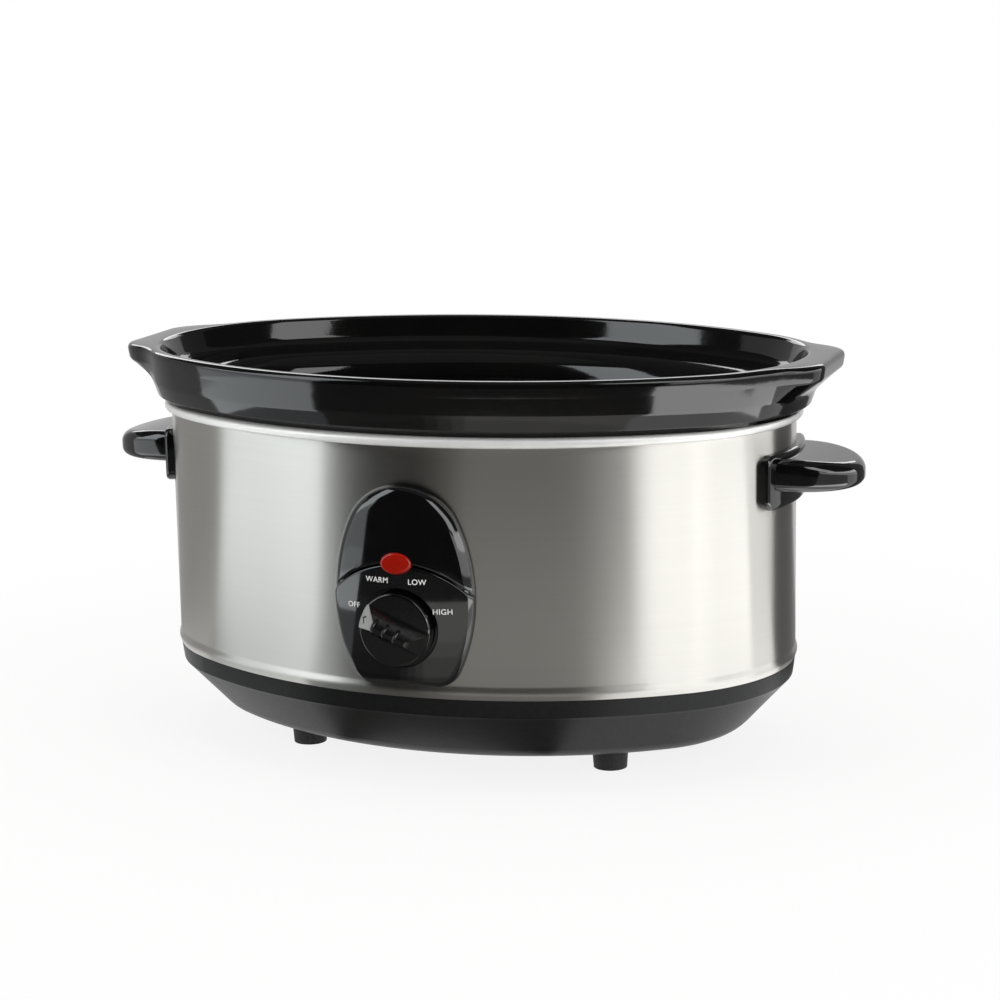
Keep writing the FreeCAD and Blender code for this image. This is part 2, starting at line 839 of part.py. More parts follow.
def make_handle():
    """Right handle: a curved plate on the wrap and a tab with a crowned top, hollow underneath."""
    high = handle_low + handle_plate_height
    width = handle_plate_half_width
    ring = oval_band(wrap_oval.offset(handle_plate_proud), handle_face, handle_low, high)
    outline = plan_prism([
        (-width, handle_low, handle_plate_round),
        (width, handle_low, handle_plate_round),
        (width, high, handle_plate_round),
        (-width, high, handle_plate_round),
    ], 0, 2 * wrap_half_length)
    outline.rotate(Vector(0, 0, 0), Vector(1, 0, 0), 90)
    outline.rotate(Vector(0, 0, 0), up, 90)
    plate = ring.common(outline)
    tab = plan_prism(tab_plan(0), handle_tab_bottom, handle_tab_top)
    crown = handle_reach ** 2 / (2 * handle_crown)
    drum = Part.makeCylinder(crown, 4 * width, Vector(wrap_half_length, -2 * width, handle_tab_top - crown),
                             Vector(0, 1, 0))
    tab = tab.common(drum)
    rounded = [edge for edge in tab.Edges
               if edge.BoundBox.ZMin > handle_tab_bottom + handle_thickness / 2
               and edge.BoundBox.XMax > wrap_half_length]
    tab = tab.makeFillet(handle_edge, rounded)
    pocket = plan_prism(tab_plan(handle_wall), handle_tab_bottom - 1,
                        handle_tab_top - handle_crown - handle_wall)
    pocket = pocket.cut(wrap_oval.offset(handle_plate_proud + handle_wall).slab(0, rim_top))
    pocket = pocket.cut(block(0, 2 * wrap_half_length, -handle_rib / 2, handle_rib / 2, 0, rim_top))
    tab = tab.cut(handle_face.slab(0, rim_top)).cut(pocket)
    cuts = []
    for height in handle_screw_heights:
        start = Vector(wrap_half_length - 5, 0, height)
        cuts.append(Part.makeCylinder(handle_screw_radius + seat_gap, handle_screw_length + 6, start,
                                      Vector(1, 0, 0)))
    return joined(plate, tab).cut(group(cuts))


bracket_face = wrap_inside.end_x(handle_bracket_half_width) - seat_gap
bracket_back = bracket_face - handle_bracket_sheet


def make_handle_bracket():
    half = handle_bracket_height / 2
    plate = block(bracket_back, bracket_face, -handle_bracket_half_width, handle_bracket_half_width,
                  handle_screw_middle - half, handle_screw_middle + half)
    cuts = [Part.makeCylinder(handle_screw_radius + hole_gap, 10, Vector(bracket_back - 5, 0, height),
                              Vector(1, 0, 0)) for height in handle_screw_heights]
    return plate.cut(group(cuts))


def make_handle_screws():
    one = turned(screw(handle_screw_radius, handle_screw_length, screw_head_radius, screw_head),
                 Vector(0, 1, 0), 90)
    right = [moved(one, bracket_back, 0, height) for height in handle_screw_heights]
    return group(right + [turned(solid, up, 180) for solid in right])


def circle_meet(first, first_radius, second, second_radius):
    """Right-hand crossing of two circles in the XY plane."""
    gap = second - first
    along = (gap.Length ** 2 + first_radius ** 2 - second_radius ** 2) / (2 * gap.Length)
    height = math.sqrt(first_radius ** 2 - along ** 2)
    unit = Vector(gap).normalize()
    sideways = Vector(-unit.y, unit.x, 0)
    choices = [first + unit * along + sideways * height, first + unit * along - sideways * height]
    return max(choices, key=lambda point: point.x)


def panel_outline(inset):
    """Egg outline in the panel's own plane, with y up from the panel's lowest point."""
    top = Vector(0, panel_height - panel_top_radius, 0)
    side_x = panel_half_width - panel_side_radius
    side_y = top.y - math.sqrt((panel_side_radius - panel_top_radius) ** 2 - side_x ** 2)
    side = Vector(side_x, side_y, 0)
    under = Vector(0, -panel_bottom_radius, 0)
    corner = circle_meet(side, panel_side_radius - panel_corner_radius,
                         under, panel_bottom_radius + panel_corner_radius)
    top_radius = panel_top_radius - inset
    side_radius = panel_side_radius - inset
    corner_radius = panel_corner_radius - inset
    shoulder = side + (top - side).normalize() * side_radius
    hip = side + (corner - side).normalize() * side_radius
    toe = corner + (under - corner).normalize() * corner_radius
    waist = side + Vector(1, 0, 0) * side_radius
    bend = corner + ((hip - corner).normalize() + (toe - corner).normalize()).normalize() * corner_radius
    crest = Vector(0, panel_height - inset, 0)
    heel = Vector(0, inset, 0)

    def mirrored(point):
        return Vector(-point.x, point.y, 0)

    edges = [
        Part.Arc(mirrored(toe), heel, toe),
        Part.Arc(toe, bend, hip),
        Part.Arc(hip, waist, shoulder),
        Part.Arc(shoulder, crest, mirrored(shoulder)),
        Part.Arc(mirrored(shoulder), mirrored(waist), mirrored(hip)),
        Part.Arc(mirrored(hip), mirrored(bend), mirrored(toe)),
    ]
    return Part.Wire([edge.toShape() for edge in edges])


def panel_barrel(inset):
    """Solid whose front is the panel's domed face: round across, and bowed from top to bottom."""
    reach = panel_round_across - inset
    half = panel_height
    sag = half ** 2 / (2 * panel_round_up)
    middle = panel_height / 2 - panel_low / 2
    low = Vector(reach - sag, middle - half, 0)
    peak = Vector(reach, middle, 0)
    high = Vector(reach - sag, middle + half, 0)
    edges = [
        Part.Arc(low, peak, high).toShape(),
        Part.LineSegment(high, Vector(0, middle + half, 0)).toShape(),
        Part.LineSegment(Vector(0, middle + half, 0), Vector(0, middle - half, 0)).toShape(),
        Part.LineSegment(Vector(0, middle - half, 0), low).toShape(),
    ]
    barrel = Part.Face(Part.Wire(edges)).revolve(Vector(0, 0, 0), Vector(0, 1, 0), 360)
    return moved(barrel, 0, 0, panel_rise - panel_round_across)


def oval_prism(length, width, low, high, y):
    """Prism over a lamp-shaped ellipse, standing on the panel's own plane."""
    ellipse = Part.Ellipse(Vector(0, y, low), length / 2, width / 2)
    return Part.Face(Part.Wire([ellipse.toShape()])).extrude(Vector(0, 0, high - low))


def make_panel():
    depth = 3 * panel_rise
    prism = Part.Face(panel_outline(0)).extrude(Vector(0, 0, 2 * depth))
    prism.translate(Vector(0, 0, -depth))
    panel = prism.common(panel_barrel(0))
    rim = [edge for edge in panel.Edges if edge.BoundBox.ZMin > 0]
    panel = panel.makeFillet(panel_edge, rim)
    hollow = Part.Face(panel_outline(panel_side_wall)).extrude(Vector(0, 0, 2 * depth))
    hollow.translate(Vector(0, 0, -depth))
    hollow = hollow.common(panel_barrel(panel_wall))
    seat_margin = 4 * lens_flange
    keep = [cylinder(switch_boss_radius, switch_front, depth, 0, knob_height),
            oval_prism(lens_length + seat_margin, lens_width + seat_margin, lens_seat, depth, lens_height)]
    for x, height in panel_screw_places:
        keep.append(cylinder(panel_boss_radius, -depth, depth, x, height))
    panel = panel.cut(hollow.cut(group(keep)))
    crease_y = crease_top - crease_radius
    groove = cylinder(crease_radius + crease_width / 2, -depth, depth, 0, crease_y)
    groove = groove.cut(cylinder(crease_radius - crease_width / 2, -depth, depth, 0, crease_y))
    groove = groove.cut(panel_barrel(crease_depth))
    cuts = [
        groove,
        cylinder(knob_radius + knob_recess_gap, recess_floor, depth, 0, knob_height),
        cylinder(shaft_radius + hole_gap, -depth, depth, 0, knob_height),
        oval_prism(lens_length + 2 * hole_gap, lens_width + 2 * hole_gap, -depth, depth, lens_height),
    ]
    for x, height in panel_screw_places:
        cuts.append(cylinder(screw_radius + seat_gap, -depth, panel_screw_depth + seat_gap, x, height))
    for side in (-1, 1):
        cuts.append(cylinder(screw_radius + seat_gap, switch_front - 1, recess_floor - 0.6,
                             side * switch_screw_x, knob_height))
    for tool in cuts:
        panel = panel.cut(tool)
    return front(panel, panel_low).cut(wrap_oval.offset(seat_gap).slab(base_top - 1, wrap_top + 1))


def make_panel_screws():
    solids = []
    for x, height in panel_screw_places:
        edge = abs(x) + screw_head_radius
        seat = wrap_half_depth + wrap_inside.front_y(edge) + seat_gap
        one = screw(screw_radius, panel_screw_depth + seat, screw_head_radius, screw_head)
        solids.append(front(moved(one, x, height, -seat), panel_low))
    return group(solids)


def switch_parts():
    back = switch_front - switch_depth
    half = switch_size / 2
    body = plan_prism([(-half, -half, 2.0), (half, -half, 2.0), (half, half, 2.0), (-half, half, 2.0)],
                      back, switch_front)
    ears = plan_prism([
        (-switch_ear, -switch_ear_height / 2, 2.0),
        (switch_ear, -switch_ear_height / 2, 2.0),
        (switch_ear, switch_ear_height / 2, 2.0),
        (-switch_ear, switch_ear_height / 2, 2.0),
    ], switch_front - switch_ear_sheet, switch_front)
    body = joined(body, ears)
    cuts = [cylinder(shaft_radius + running_gap, back + 3, switch_front + 1)]
    screws = []
    for side in (-1, 1):
        x = side * switch_screw_x
        cuts.append(cylinder(screw_radius + hole_gap, back, switch_front + 1, x))
        one = screw(screw_radius, switch_ear_sheet + switch_boss_wall - 1.2, screw_head_radius, screw_head)
        screws.append(moved(one, x, 0, switch_front - switch_ear_sheet))
    blades = []
    for index in range(blade_count):
        x = (index - (blade_count - 1) / 2) * blade_pitch
        blades.append(block(x - blade_width / 2, x + blade_width / 2, -blade_sheet / 2, blade_sheet / 2,
                            back - blade_length, back))
    height = panel_low + knob_height
    return (front(moved(body.cut(group(cuts)), 0, 0, 0), height), front(group(screws), height),
            front(group(blades), height))


def shaft(radius, flat, low, high):
    bar = cylinder(radius, low, high)
    return bar.cut(block(flat, 2 * radius, -2 * radius, 2 * radius, knob_back - 1, high + 1))


def knob_parts():
    """Knob disc with a roof-shaped grip, its pale pointer facet, and the switch shaft inside it."""
    top = knob_face + knob_grip
    disc = cylinder(knob_radius, knob_back, knob_face)
    disc = disc.makeFillet(knob_edge, [edge for edge in disc.Edges if edge.BoundBox.ZMin > knob_back + 0.1])
    reach = knob_radius - 0.3
    roof = plan_prism([
        (-knob_grip_base / 2, knob_face - knob_disc / 2, 0),
        (knob_grip_base / 2, knob_face - knob_disc / 2, 0),
        (knob_grip_base / 2, knob_face, 0),
        (knob_grip_ridge / 2, top, 0.8),
        (-knob_grip_ridge / 2, top, 0.8),
        (-knob_grip_base / 2, knob_face, 0),
    ], -reach, reach)
    roof.rotate(Vector(0, 0, 0), Vector(1, 0, 0), 90)
    roof.rotate(Vector(0, 0, 0), up, 90)

    def side_prism(corners):
        prism = plan_prism(corners, -knob_radius, knob_radius)
        return turned(prism, Vector(1, 0, 0), 90)

    slope = side_prism([
        (-reach, knob_face - knob_disc, 0),
        (-reach, knob_face, 0),
        (knob_grip_end - reach, top, 0.5),
        (reach - knob_grip_tail, top, 3.0),
        (reach, knob_face, 0),
        (reach, knob_face - knob_disc, 0),
    ])
    facet = side_prism([
        (-reach, knob_face + 0.05, 0),
        (knob_grip_end - reach, top + 0.05, 0),
        (knob_grip_end - reach + knob_pointer_sheet, top + 0.05, 0),
        (knob_pointer_sheet - reach, knob_face + 0.05, 0),
    ])
    grip = roof.common(slope).common(cylinder(knob_radius - 0.2, knob_back, top + 1))
    pointer = grip.common(facet)
    rise = math.atan2(knob_grip, (knob_grip_base - knob_grip_ridge) / 2)
    ribs = []
    for index in range(rib_count):
        x = (index - rib_count) * rib_pitch + rib_pitch
        rib = Part.makeCylinder(rib_radius, knob_grip * 0.6,
                                Vector(x, -knob_grip_base / 2, knob_face - 0.2),
                                Vector(0, math.cos(rise), math.sin(rise)))
        ribs.append(rib)
    knob = joined(disc, grip.cut(facet), *ribs)
    bore_top = knob_back + shaft_knob_depth
    knob = knob.cut(shaft(shaft_radius + seat_gap, shaft_flat + seat_gap, knob_back - 1, bore_top))
    rotor = shaft(shaft_radius, shaft_flat, switch_front - switch_depth + 3 + seat_gap, bore_top - seat_gap)
    height = panel_low + knob_height
    turn = knob_rest_angle - 180
    return [front(turned(shape, up, turn), height) for shape in (knob, pointer, rotor)]


def lamp_parts():
    dome = oval_prism(lens_length, lens_width, lens_seat - lens_flange_sheet, 3 * panel_rise, lens_height)
    dome = dome.common(panel_barrel(-lens_proud))
    flange = oval_prism(lens_length + 2 * lens_flange, lens_width + 2 * lens_flange,
                        lens_seat - lens_flange_sheet, lens_seat, lens_height)
    lens = joined(dome, flange)
    seat = lens_seat - lens_flange_sheet
    wide = lamp_radius + lamp_holder_wall
    half = lens_length / 2
    holder = block(-half, half, lens_height - wide, lens_height + wide, seat - 2 * wide, seat)
    bore = Part.makeCylinder(lamp_radius + seat_gap, 4 * half, Vector(-2 * half, lens_height, seat - wide),
                             Vector(1, 0, 0))
    lamp = Part.makeCylinder(lamp_radius, lamp_length, Vector(-lamp_length / 2, lens_height, seat - wide),
                             Vector(1, 0, 0))
    return [front(shape, panel_low) for shape in (lens, holder.cut(bore), lamp)]


def make_gland():
    back = -wrap_inside.front_y(gland_collar_radius) - seat_gap
    face = wrap_half_depth + seat_gap
    profile = cylinder(gland_flange_radius, face, face + gland_flange_sheet)
    neck = cylinder(gland_body_radius, back - gland_collar_sheet, face)
    collar = cylinder(gland_collar_radius, back - gland_collar_sheet, back)
    body = joined(profile, neck, collar)
    body = body.cut(cylinder(gland_bore_radius, 0, 2 * wrap_half_depth))
    body.rotate(Vector(0, 0, 0), Vector(1, 0, 0), -90)
    return moved(body, 0, 0, base_top + gland_height)


def make_all():
    switch_body, switch_screws, switch_terminals = switch_parts()
    control_knob, knob_pointer, switch_rotor = knob_parts()
    indicator_lens, lamp_holder, neon_lamp = lamp_parts()
    handle = make_handle()
    bracket = make_handle_bracket()
    nodes = {
        "crock": make_crock(),
        "heating_pot": make_pot(),
        "steel_wrap": make_wrap(),
        "wrap_seam_strip": make_seam_strip(),
        "base_pan": make_base(),
        "foot_screws": make_foot_screws(),
        "heat_reflector": make_reflector(),
        "reflector_screws": make_reflector_screws(),
        "tie_strap": make_tie_strap(),
        "tie_rods": make_tie_rods(),
        "tie_nuts": make_tie_nuts(),
        "heating_band": make_heater(),
        "band_clamp": make_clamp(),
        "clamp_screw": make_clamp_screw(),
        "fuse_clip": make_fuse_clip(),
        "thermal_fuse": make_fuse(),
        "terminal_block": make_terminal_block(),
        "terminal_screws": make_terminal_screws(),
        "heater_leads": make_heater_leads(),
        "switch_lead": make_switch_lead(),
        "handle_right": handle,
        "handle_left": turned(handle, up, 180),
        "handle_bracket_right": bracket,
        "handle_bracket_left": turned(bracket, up, 180),
        "handle_screws": make_handle_screws(),
        "control_panel": make_panel(),
        "panel_screws": make_panel_screws(),
        "switch_body": switch_body,
        "switch_screws": switch_screws,
        "switch_terminals": switch_terminals,
        "switch_rotor": switch_rotor,
        "control_knob": control_knob,
        "knob_pointer": knob_pointer,
        "indicator_lens": indicator_lens,
        "lamp_holder": lamp_holder,
        "neon_lamp": neon_lamp,
        "cord_gland": make_gland(),
    }
    corner_names = ["front_left", "rear_left", "front_right", "rear_right"]
    for name, (x, y) in zip(corner_names, foot_places):
        nodes["foot_" + name] = make_foot(x, y)
    return nodes


# The finished cooker is centred front to back between the knob's ridge and the rearmost edge
front_reach = wrap_half_depth + knob_face + knob_grip
back_reach = max(rim_half_depth, wrap_half_depth + seat_gap + gland_flange_sheet)
centring = (front_reach - back_reach) / 2

os.makedirs("parts", exist_ok=True)
for name, shape in make_all().items():
    shape.translate(Vector(0, centring, 0))
    shape.exportStep(os.path.join("parts", name + ".step"))
    volumes = [round(solid.Volume) for solid in shape.Solids]
    print(name, "solids", len(volumes), "valid", shape.isValid(), "mm3", sum(volumes))
print("centring", round(centring, 3), "rim top", round(rim_top, 2))
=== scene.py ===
# %% [markdown]
# # Dressing an oval slow cooker
# The measured model comes in as a fixed frame: every piece already stands where it belongs, in metres.
# This lesson sets up a small studio, mixes the finishes, and remakes the pieces whose gloss needs a
# smoother skin than flat facets can give.

# %% Load the frame
import json
import math

import bmesh
import bpy
import numpy as np
from mathutils import Matrix, Vector


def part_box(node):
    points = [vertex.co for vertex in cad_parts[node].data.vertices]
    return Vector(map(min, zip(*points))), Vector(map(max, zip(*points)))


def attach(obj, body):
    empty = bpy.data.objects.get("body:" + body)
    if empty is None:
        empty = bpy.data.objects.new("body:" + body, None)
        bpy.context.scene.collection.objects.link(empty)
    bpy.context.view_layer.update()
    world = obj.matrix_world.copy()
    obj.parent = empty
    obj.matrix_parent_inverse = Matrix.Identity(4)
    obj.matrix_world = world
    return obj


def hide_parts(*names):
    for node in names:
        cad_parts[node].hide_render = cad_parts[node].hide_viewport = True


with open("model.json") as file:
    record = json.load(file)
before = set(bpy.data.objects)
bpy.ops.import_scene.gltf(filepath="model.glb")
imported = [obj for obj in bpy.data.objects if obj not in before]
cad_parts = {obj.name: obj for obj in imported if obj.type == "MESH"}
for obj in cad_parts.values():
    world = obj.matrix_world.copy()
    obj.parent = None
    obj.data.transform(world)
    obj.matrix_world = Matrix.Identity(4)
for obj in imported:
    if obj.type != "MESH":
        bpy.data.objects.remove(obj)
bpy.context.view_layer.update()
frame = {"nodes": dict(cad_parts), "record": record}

MM = 0.001
nodes = frame["nodes"]
wrap_low, wrap_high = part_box("steel_wrap")
oval_y = (wrap_low.y + wrap_high.y) / 2

# %% [markdown]
# The camera stands a little to the right of the front and looks down by about twelve degrees. Its place
# and its long lens were worked out from the outline of the body, so the three columns below are simply
# the directions of its right side, its top and its back.

# %% Camera
camera_lens, camera_sensor = 95.863, 36.0
camera_place = (0.45693, -1.26418, 0.40776)
camera_axes = Matrix((
    (0.94494408, -0.05049519, 0.32331243),
    (0.32674281, 0.19959352, -0.92379736),
    (-0.01788374, 0.97857686, 0.20510365),
))
camera_data = bpy.data.cameras.new("studio_camera")
camera_data.sensor_width = camera_sensor
camera_data.lens = camera_lens
camera = bpy.data.objects.new("studio_camera", camera_data)
camera.matrix_world = Matrix.Translation(camera_place) @ camera_axes.to_4x4()
bpy.context.scene.collection.objects.link(camera)
bpy.context.scene.camera = camera
bpy.context.scene.view_settings.view_transform = "Standard"
print("camera distance", round(camera.location.length, 3), "m")

# %% [markdown]
# Two small helpers serve every finish. Colours are written as the sRGB hex values that a picture editor
# shows, and Blender wants linear light, so one function turns the first into the second. The other adds a
# node, sets its properties, and either fills its sockets or links them.


# %% Helpers for colour and nodes
def linear(hex_colour, alpha=1.0):
    channels = [int(hex_colour[i:i + 2], 16) / 255 for i in (1, 3, 5)]
    return tuple(c / 12.92 if c <= 0.04045 else ((c + 0.055) / 1.055) ** 2.4 for c in channels) + (alpha,)


def add(tree, kind, inputs=None, **settings):
    node = tree.nodes.new(kind)
    for name, value in settings.items():
        setattr(node, name, value)
    for name, value in (inputs or {}).items():
        if isinstance(value, bpy.types.NodeSocket):
            tree.links.new(value, node.inputs[name])
        else:
            node.inputs[name].default_value = value
    return node


def blank_material(name):
    material = bpy.data.materials.new(name)
    material.use_nodes = True
    material.node_tree.nodes.clear()
    return material, material.node_tree


print("linear mid grey", round(linear("#808080")[0], 4))

# %% [markdown]
# The floor and the world are white to the camera and to mirror-like rays, at a strength of one, while the
# light they cast stays at a plain level. Light Path tells these rays apart, so both get the same mask.
# Near the cooker the floor keeps part of its own lit colour, so that the shadow under the base still
# shows.

# %% Mask of the rays that see white
floor_paint, floor_tree = blank_material("matt_white_paper")
world = bpy.data.worlds.new("white_studio")
bpy.context.scene.world = world
world.use_nodes = True
world.node_tree.nodes.clear()
seen = []
for tree in (floor_tree, world.node_tree):
    path = add(tree, "ShaderNodeLightPath")
    mask = path.outputs["Is Camera Ray"]
    for ray in ("Is Glossy Ray", "Is Transmission Ray"):
        mask = add(tree, "ShaderNodeMath", {0: mask, 1: path.outputs[ray]}, operation="MAXIMUM").outputs[0]
    seen.append(mask)
print("masks", len(seen))

# %% Floor and world
floor_half = 8.0
floor_mesh = bpy.data.meshes.new("studio_floor")
floor_corners = [(x * floor_half, y * floor_half, 0) for x, y in ((-1, -1), (1, -1), (1, 1), (-1, 1))]
floor_mesh.from_pydata(floor_corners, [], [(0, 1, 2, 3)])
floor = bpy.data.objects.new("studio_floor", floor_mesh)
bpy.context.scene.collection.objects.link(floor)
# Distances between which the shadow fades, and the least share of white
shadow_near, shadow_far, least_white = 0.20, 0.55, 0.86
place = add(floor_tree, "ShaderNodeTexCoord")
distance = add(floor_tree, "ShaderNodeVectorMath", {0: place.outputs["Object"]}, operation="LENGTH")
share = add(floor_tree, "ShaderNodeMapRange", {
    "Value": distance.outputs["Value"], "From Min": shadow_near, "From Max": shadow_far,
    "To Min": least_white, "To Max": 1.0}, interpolation_type="SMOOTHSTEP")
share = add(floor_tree, "ShaderNodeMath", {0: share.outputs[0], 1: seen[0]}, operation="MULTIPLY")
lit = add(floor_tree, "ShaderNodeBsdfDiffuse", {"Color": linear("#f2f2f0")})
white = add(floor_tree, "ShaderNodeEmission", {"Color": (1, 1, 1, 1), "Strength": 1.0})
paint = add(floor_tree, "ShaderNodeMixShader", {
    0: share.outputs[0], 1: lit.outputs[0], 2: white.outputs[0]})
add(floor_tree, "ShaderNodeOutputMaterial", {"Surface": paint.outputs[0]})
floor_mesh.materials.append(floor_paint)

sky_light = 0.38
tree = world.node_tree
level = add(tree, "ShaderNodeMapRange", {"Value": seen[1], "To Min": sky_light, "To Max": 1.0})
sky = add(tree, "ShaderNodeBackground", {"Color": (1, 1, 1, 1), "Strength": level.outputs[0]})
add(tree, "ShaderNodeOutputWorld", {"Surface": sky.outputs[0]})
print("floor", 2 * floor_half, "m wide, light of the sky", sky_light)

# %% [markdown]
# Three broad lamps give the soft light. A mirror-like surface shows the studio itself, so the shapes in
# the gloss come from cards that stand round the cooker, as flags and softboxes do in a real studio. They
# are seen in reflections only. A card is a curved strip through two or more edges. Each edge has a
# radius, a height, and a first and a last angle in degrees, which go from the front to the right.


# %% Lamp and card helpers
def lamp(name, place, aim, size, watts):
    """An area lamp that shows in no mirror."""
    data = bpy.data.lights.new(name, "AREA")
    data.shape = "RECTANGLE"
    data.size, data.size_y = size
    data.energy = watts
    thing = bpy.data.objects.new(name, data)
    turn = (Vector(aim) - Vector(place)).to_track_quat("-Z", "Y")
    thing.matrix_world = Matrix.Translation(place) @ turn.to_matrix().to_4x4()
    thing.visible_camera = False
    thing.visible_glossy = False
    bpy.context.scene.collection.objects.link(thing)


card_steps = 24


def card(name, edges, glow, tint):
    """A glowing strip that shows in mirrors only."""
    verts, faces = [], []
    for radius, height, first, last in edges:
        for step in range(card_steps + 1):
            angle = math.radians(first + (last - first) * step / card_steps)
            verts.append((radius * math.sin(angle), -radius * math.cos(angle), height))
    for row in range(len(edges) - 1):
        for step in range(card_steps):
            a = row * (card_steps + 1) + step
            faces.append((a, a + 1, a + card_steps + 2, a + card_steps + 1))
    mesh = bpy.data.meshes.new(name)
    mesh.from_pydata(verts, [], faces)
    paint, tree = blank_material(name)
    light = add(tree, "ShaderNodeEmission", {"Color": linear(tint), "Strength": glow})
    add(tree, "ShaderNodeOutputMaterial", {"Surface": light.outputs[0]})
    mesh.materials.append(paint)
    thing = bpy.data.objects.new(name, mesh)
    for ray in ("camera", "diffuse", "transmission", "shadow", "volume_scatter"):
        setattr(thing, "visible_" + ray, False)
    bpy.context.scene.collection.objects.link(thing)


print("cards bend in", card_steps, "steps")

# %% [markdown]
# Bright cards to the left and right give the steel its two upright bands. Dark flags stand in front, at
# the right rear and overhead. At the back a grey card lights the tops of the handles, and a bright strip
# draws the thin line along the rim. Cards lie on the floor too, as the steel, the base and the lower face
# of the panel look down at it.

# %% Placing lamps and cards
lamp_aim = (0, 0, 0.1)
lamp("left_lamp", (-1.2, -0.8, 0.9), lamp_aim, (1.0, 1.2), 9)
lamp("right_lamp", (1.3, -0.6, 0.9), lamp_aim, (1.0, 1.2), 10)
lamp("top_lamp", (0.0, 0.1, 1.7), lamp_aim, (1.6, 1.4), 11)
# Cards on the floor lie a millimetre above it
paper = MM
# First and last angle of each sector
front, right, right_side = (-43, 46), (46, 127), (46, 98)
dark, back, left_end = (127, 156), (156, 235), (235, 280)
left, left_wide = (-80, -43), (-80, -38)
plain, cool, warm = "#ffffff", "#eef4f6", "#f4f3ef"
# name: edges as radius and height in metres and two angles, then glow and tint
cards = {
    "front_near_floor": ([(0.08, paper, *front), (0.16, paper, *front)], 0.15, warm),
    "front_far_floor": ([(0.48, paper, *front), (0.90, paper, *front)], 0.08, warm),
    "front_flag": ([(0.90, paper, *front), (1.6, paper, *front), (1.6, 3.0, *front)], 0.014, plain),
    "ceiling_flag": ([(0.01, 3.0, -180, 180), (1.6, 3.0, -180, 180)], 0.10, plain),
    "right_base_floor": ([(0.17, paper, 40, 110), (0.25, paper, 46, 110)], 1.8, plain),
    "right_near_floor": ([(0.25, paper, 46, 110), (0.38, paper, 46, 113)], 1.1, plain),
    "right_floor": ([(0.38, paper, *right_side), (0.64, paper, *right_side)], 3.6, plain),
    "right_far_floor": ([(0.64, paper, *right_side), (1.5, paper, *right_side)], 0.35, plain),
    "right_end_floor": ([(0.38, paper, 98, 113), (1.5, paper, 98, 127)], 1.0, plain),
    "right_softbox": ([(1.5, paper, *right), (1.5, 0.45, *right)], 1.5, plain),
    "right_high": ([(1.45, 0.50, 50, 78), (1.45, 0.70, 47, 74), (1.45, 0.90, 40, 68),
                    (1.45, 1.25, 33, 58), (1.45, 2.0, 31, 52)], 2.6, plain),
    "right_band": ([(1.47, 0.30, 60, 127), (1.47, 0.56, 60, 127)], 3.2, plain),
    "right_upper_flag": ([(1.5, 0.45, *right), (1.5, 3.0, *right)], 0.04, plain),
    "dark_flag": ([(0.22, paper, 110, 156), (0.38, paper, 113, 156), (1.5, paper, *dark),
                   (1.5, 3.0, *dark)], 0.13, plain),
    "back_grey": ([(0.30, paper, *back), (1.5, paper, *back), (1.5, 0.9, *back)], 0.70, plain),
    "back_strip": ([(1.45, 0.62, 165, 235), (1.45, 1.0, 165, 235)], 3.4, plain),
    "back_upper_flag": ([(1.5, 0.9, 156, 280), (1.5, 3.0, 156, 280)], 0.05, plain),
    "left_edge": ([(0.30, paper, *left_end), (1.5, paper, *left_end), (1.5, 0.9, *left_end)], 0.37, plain),
    "left_near_floor": ([(0.20, paper, *left), (0.38, paper, *left)], 0.50, cool),
    "left_floor": ([(0.38, paper, *left), (0.70, paper, *left)], 2.2, cool),
    "left_far_floor": ([(0.70, paper, *left), (1.5, paper, *left)], 1.4, cool),
    "left_softbox": ([(1.5, paper, *left), (1.5, 0.45, *left_wide)], 1.1, cool),
    "left_high": ([(1.45, 0.40, -79, -41), (1.45, 0.60, -78, -41), (1.45, 0.72, -68, -40),
                   (1.45, 1.25, -66, -41), (1.45, 2.1, -76, -46)], 2.8, cool),
    "left_upper_flag": ([(1.5, 0.45, *left_wide), (1.5, 3.0, *left_wide)], 0.04, plain),
}
# The floor in front brightens to the right and away from the base, which shades the panel's lower face. A
# ring has two radii and a gain, and a sector two angles and a glow.
floor_rings = ((0.16, 0.20, 0.35), (0.20, 0.24, 0.6), (0.24, 0.28, 0.8), (0.28, 0.48, 1.0))
floor_sectors = ((-43, -12, 0.14), (-12, -8, 0.24), (-8, -4, 0.40), (-4, 0, 0.60), (0, 46, 0.85))
for near, far, gain in floor_rings:
    for first, last, glow in floor_sectors:
        cards[f"front_floor_{first}_{far}"] = (
            [(near, paper, first, last), (far, paper, first, last)], glow * gain, warm)
for name, (edges, glow, tint) in cards.items():
    card(name, edges, glow, tint)
print("lamps 3, cards", len(cards))

# %% [markdown]
# ## Finishes
# Each finish starts from what the real surface is and how it was made. All of them share three layers of
# noise: a slow cloud between two near colours, a finer change of roughness, and a fine bump. Sizes are in
# millimetres. With Object coordinates in metres, a noise of scale 1 / size repeats about once in that
# size.


# %% Mixing a finish
# Nearly all of a noise lies between these two values
noise_low, noise_high = 0.3, 0.7


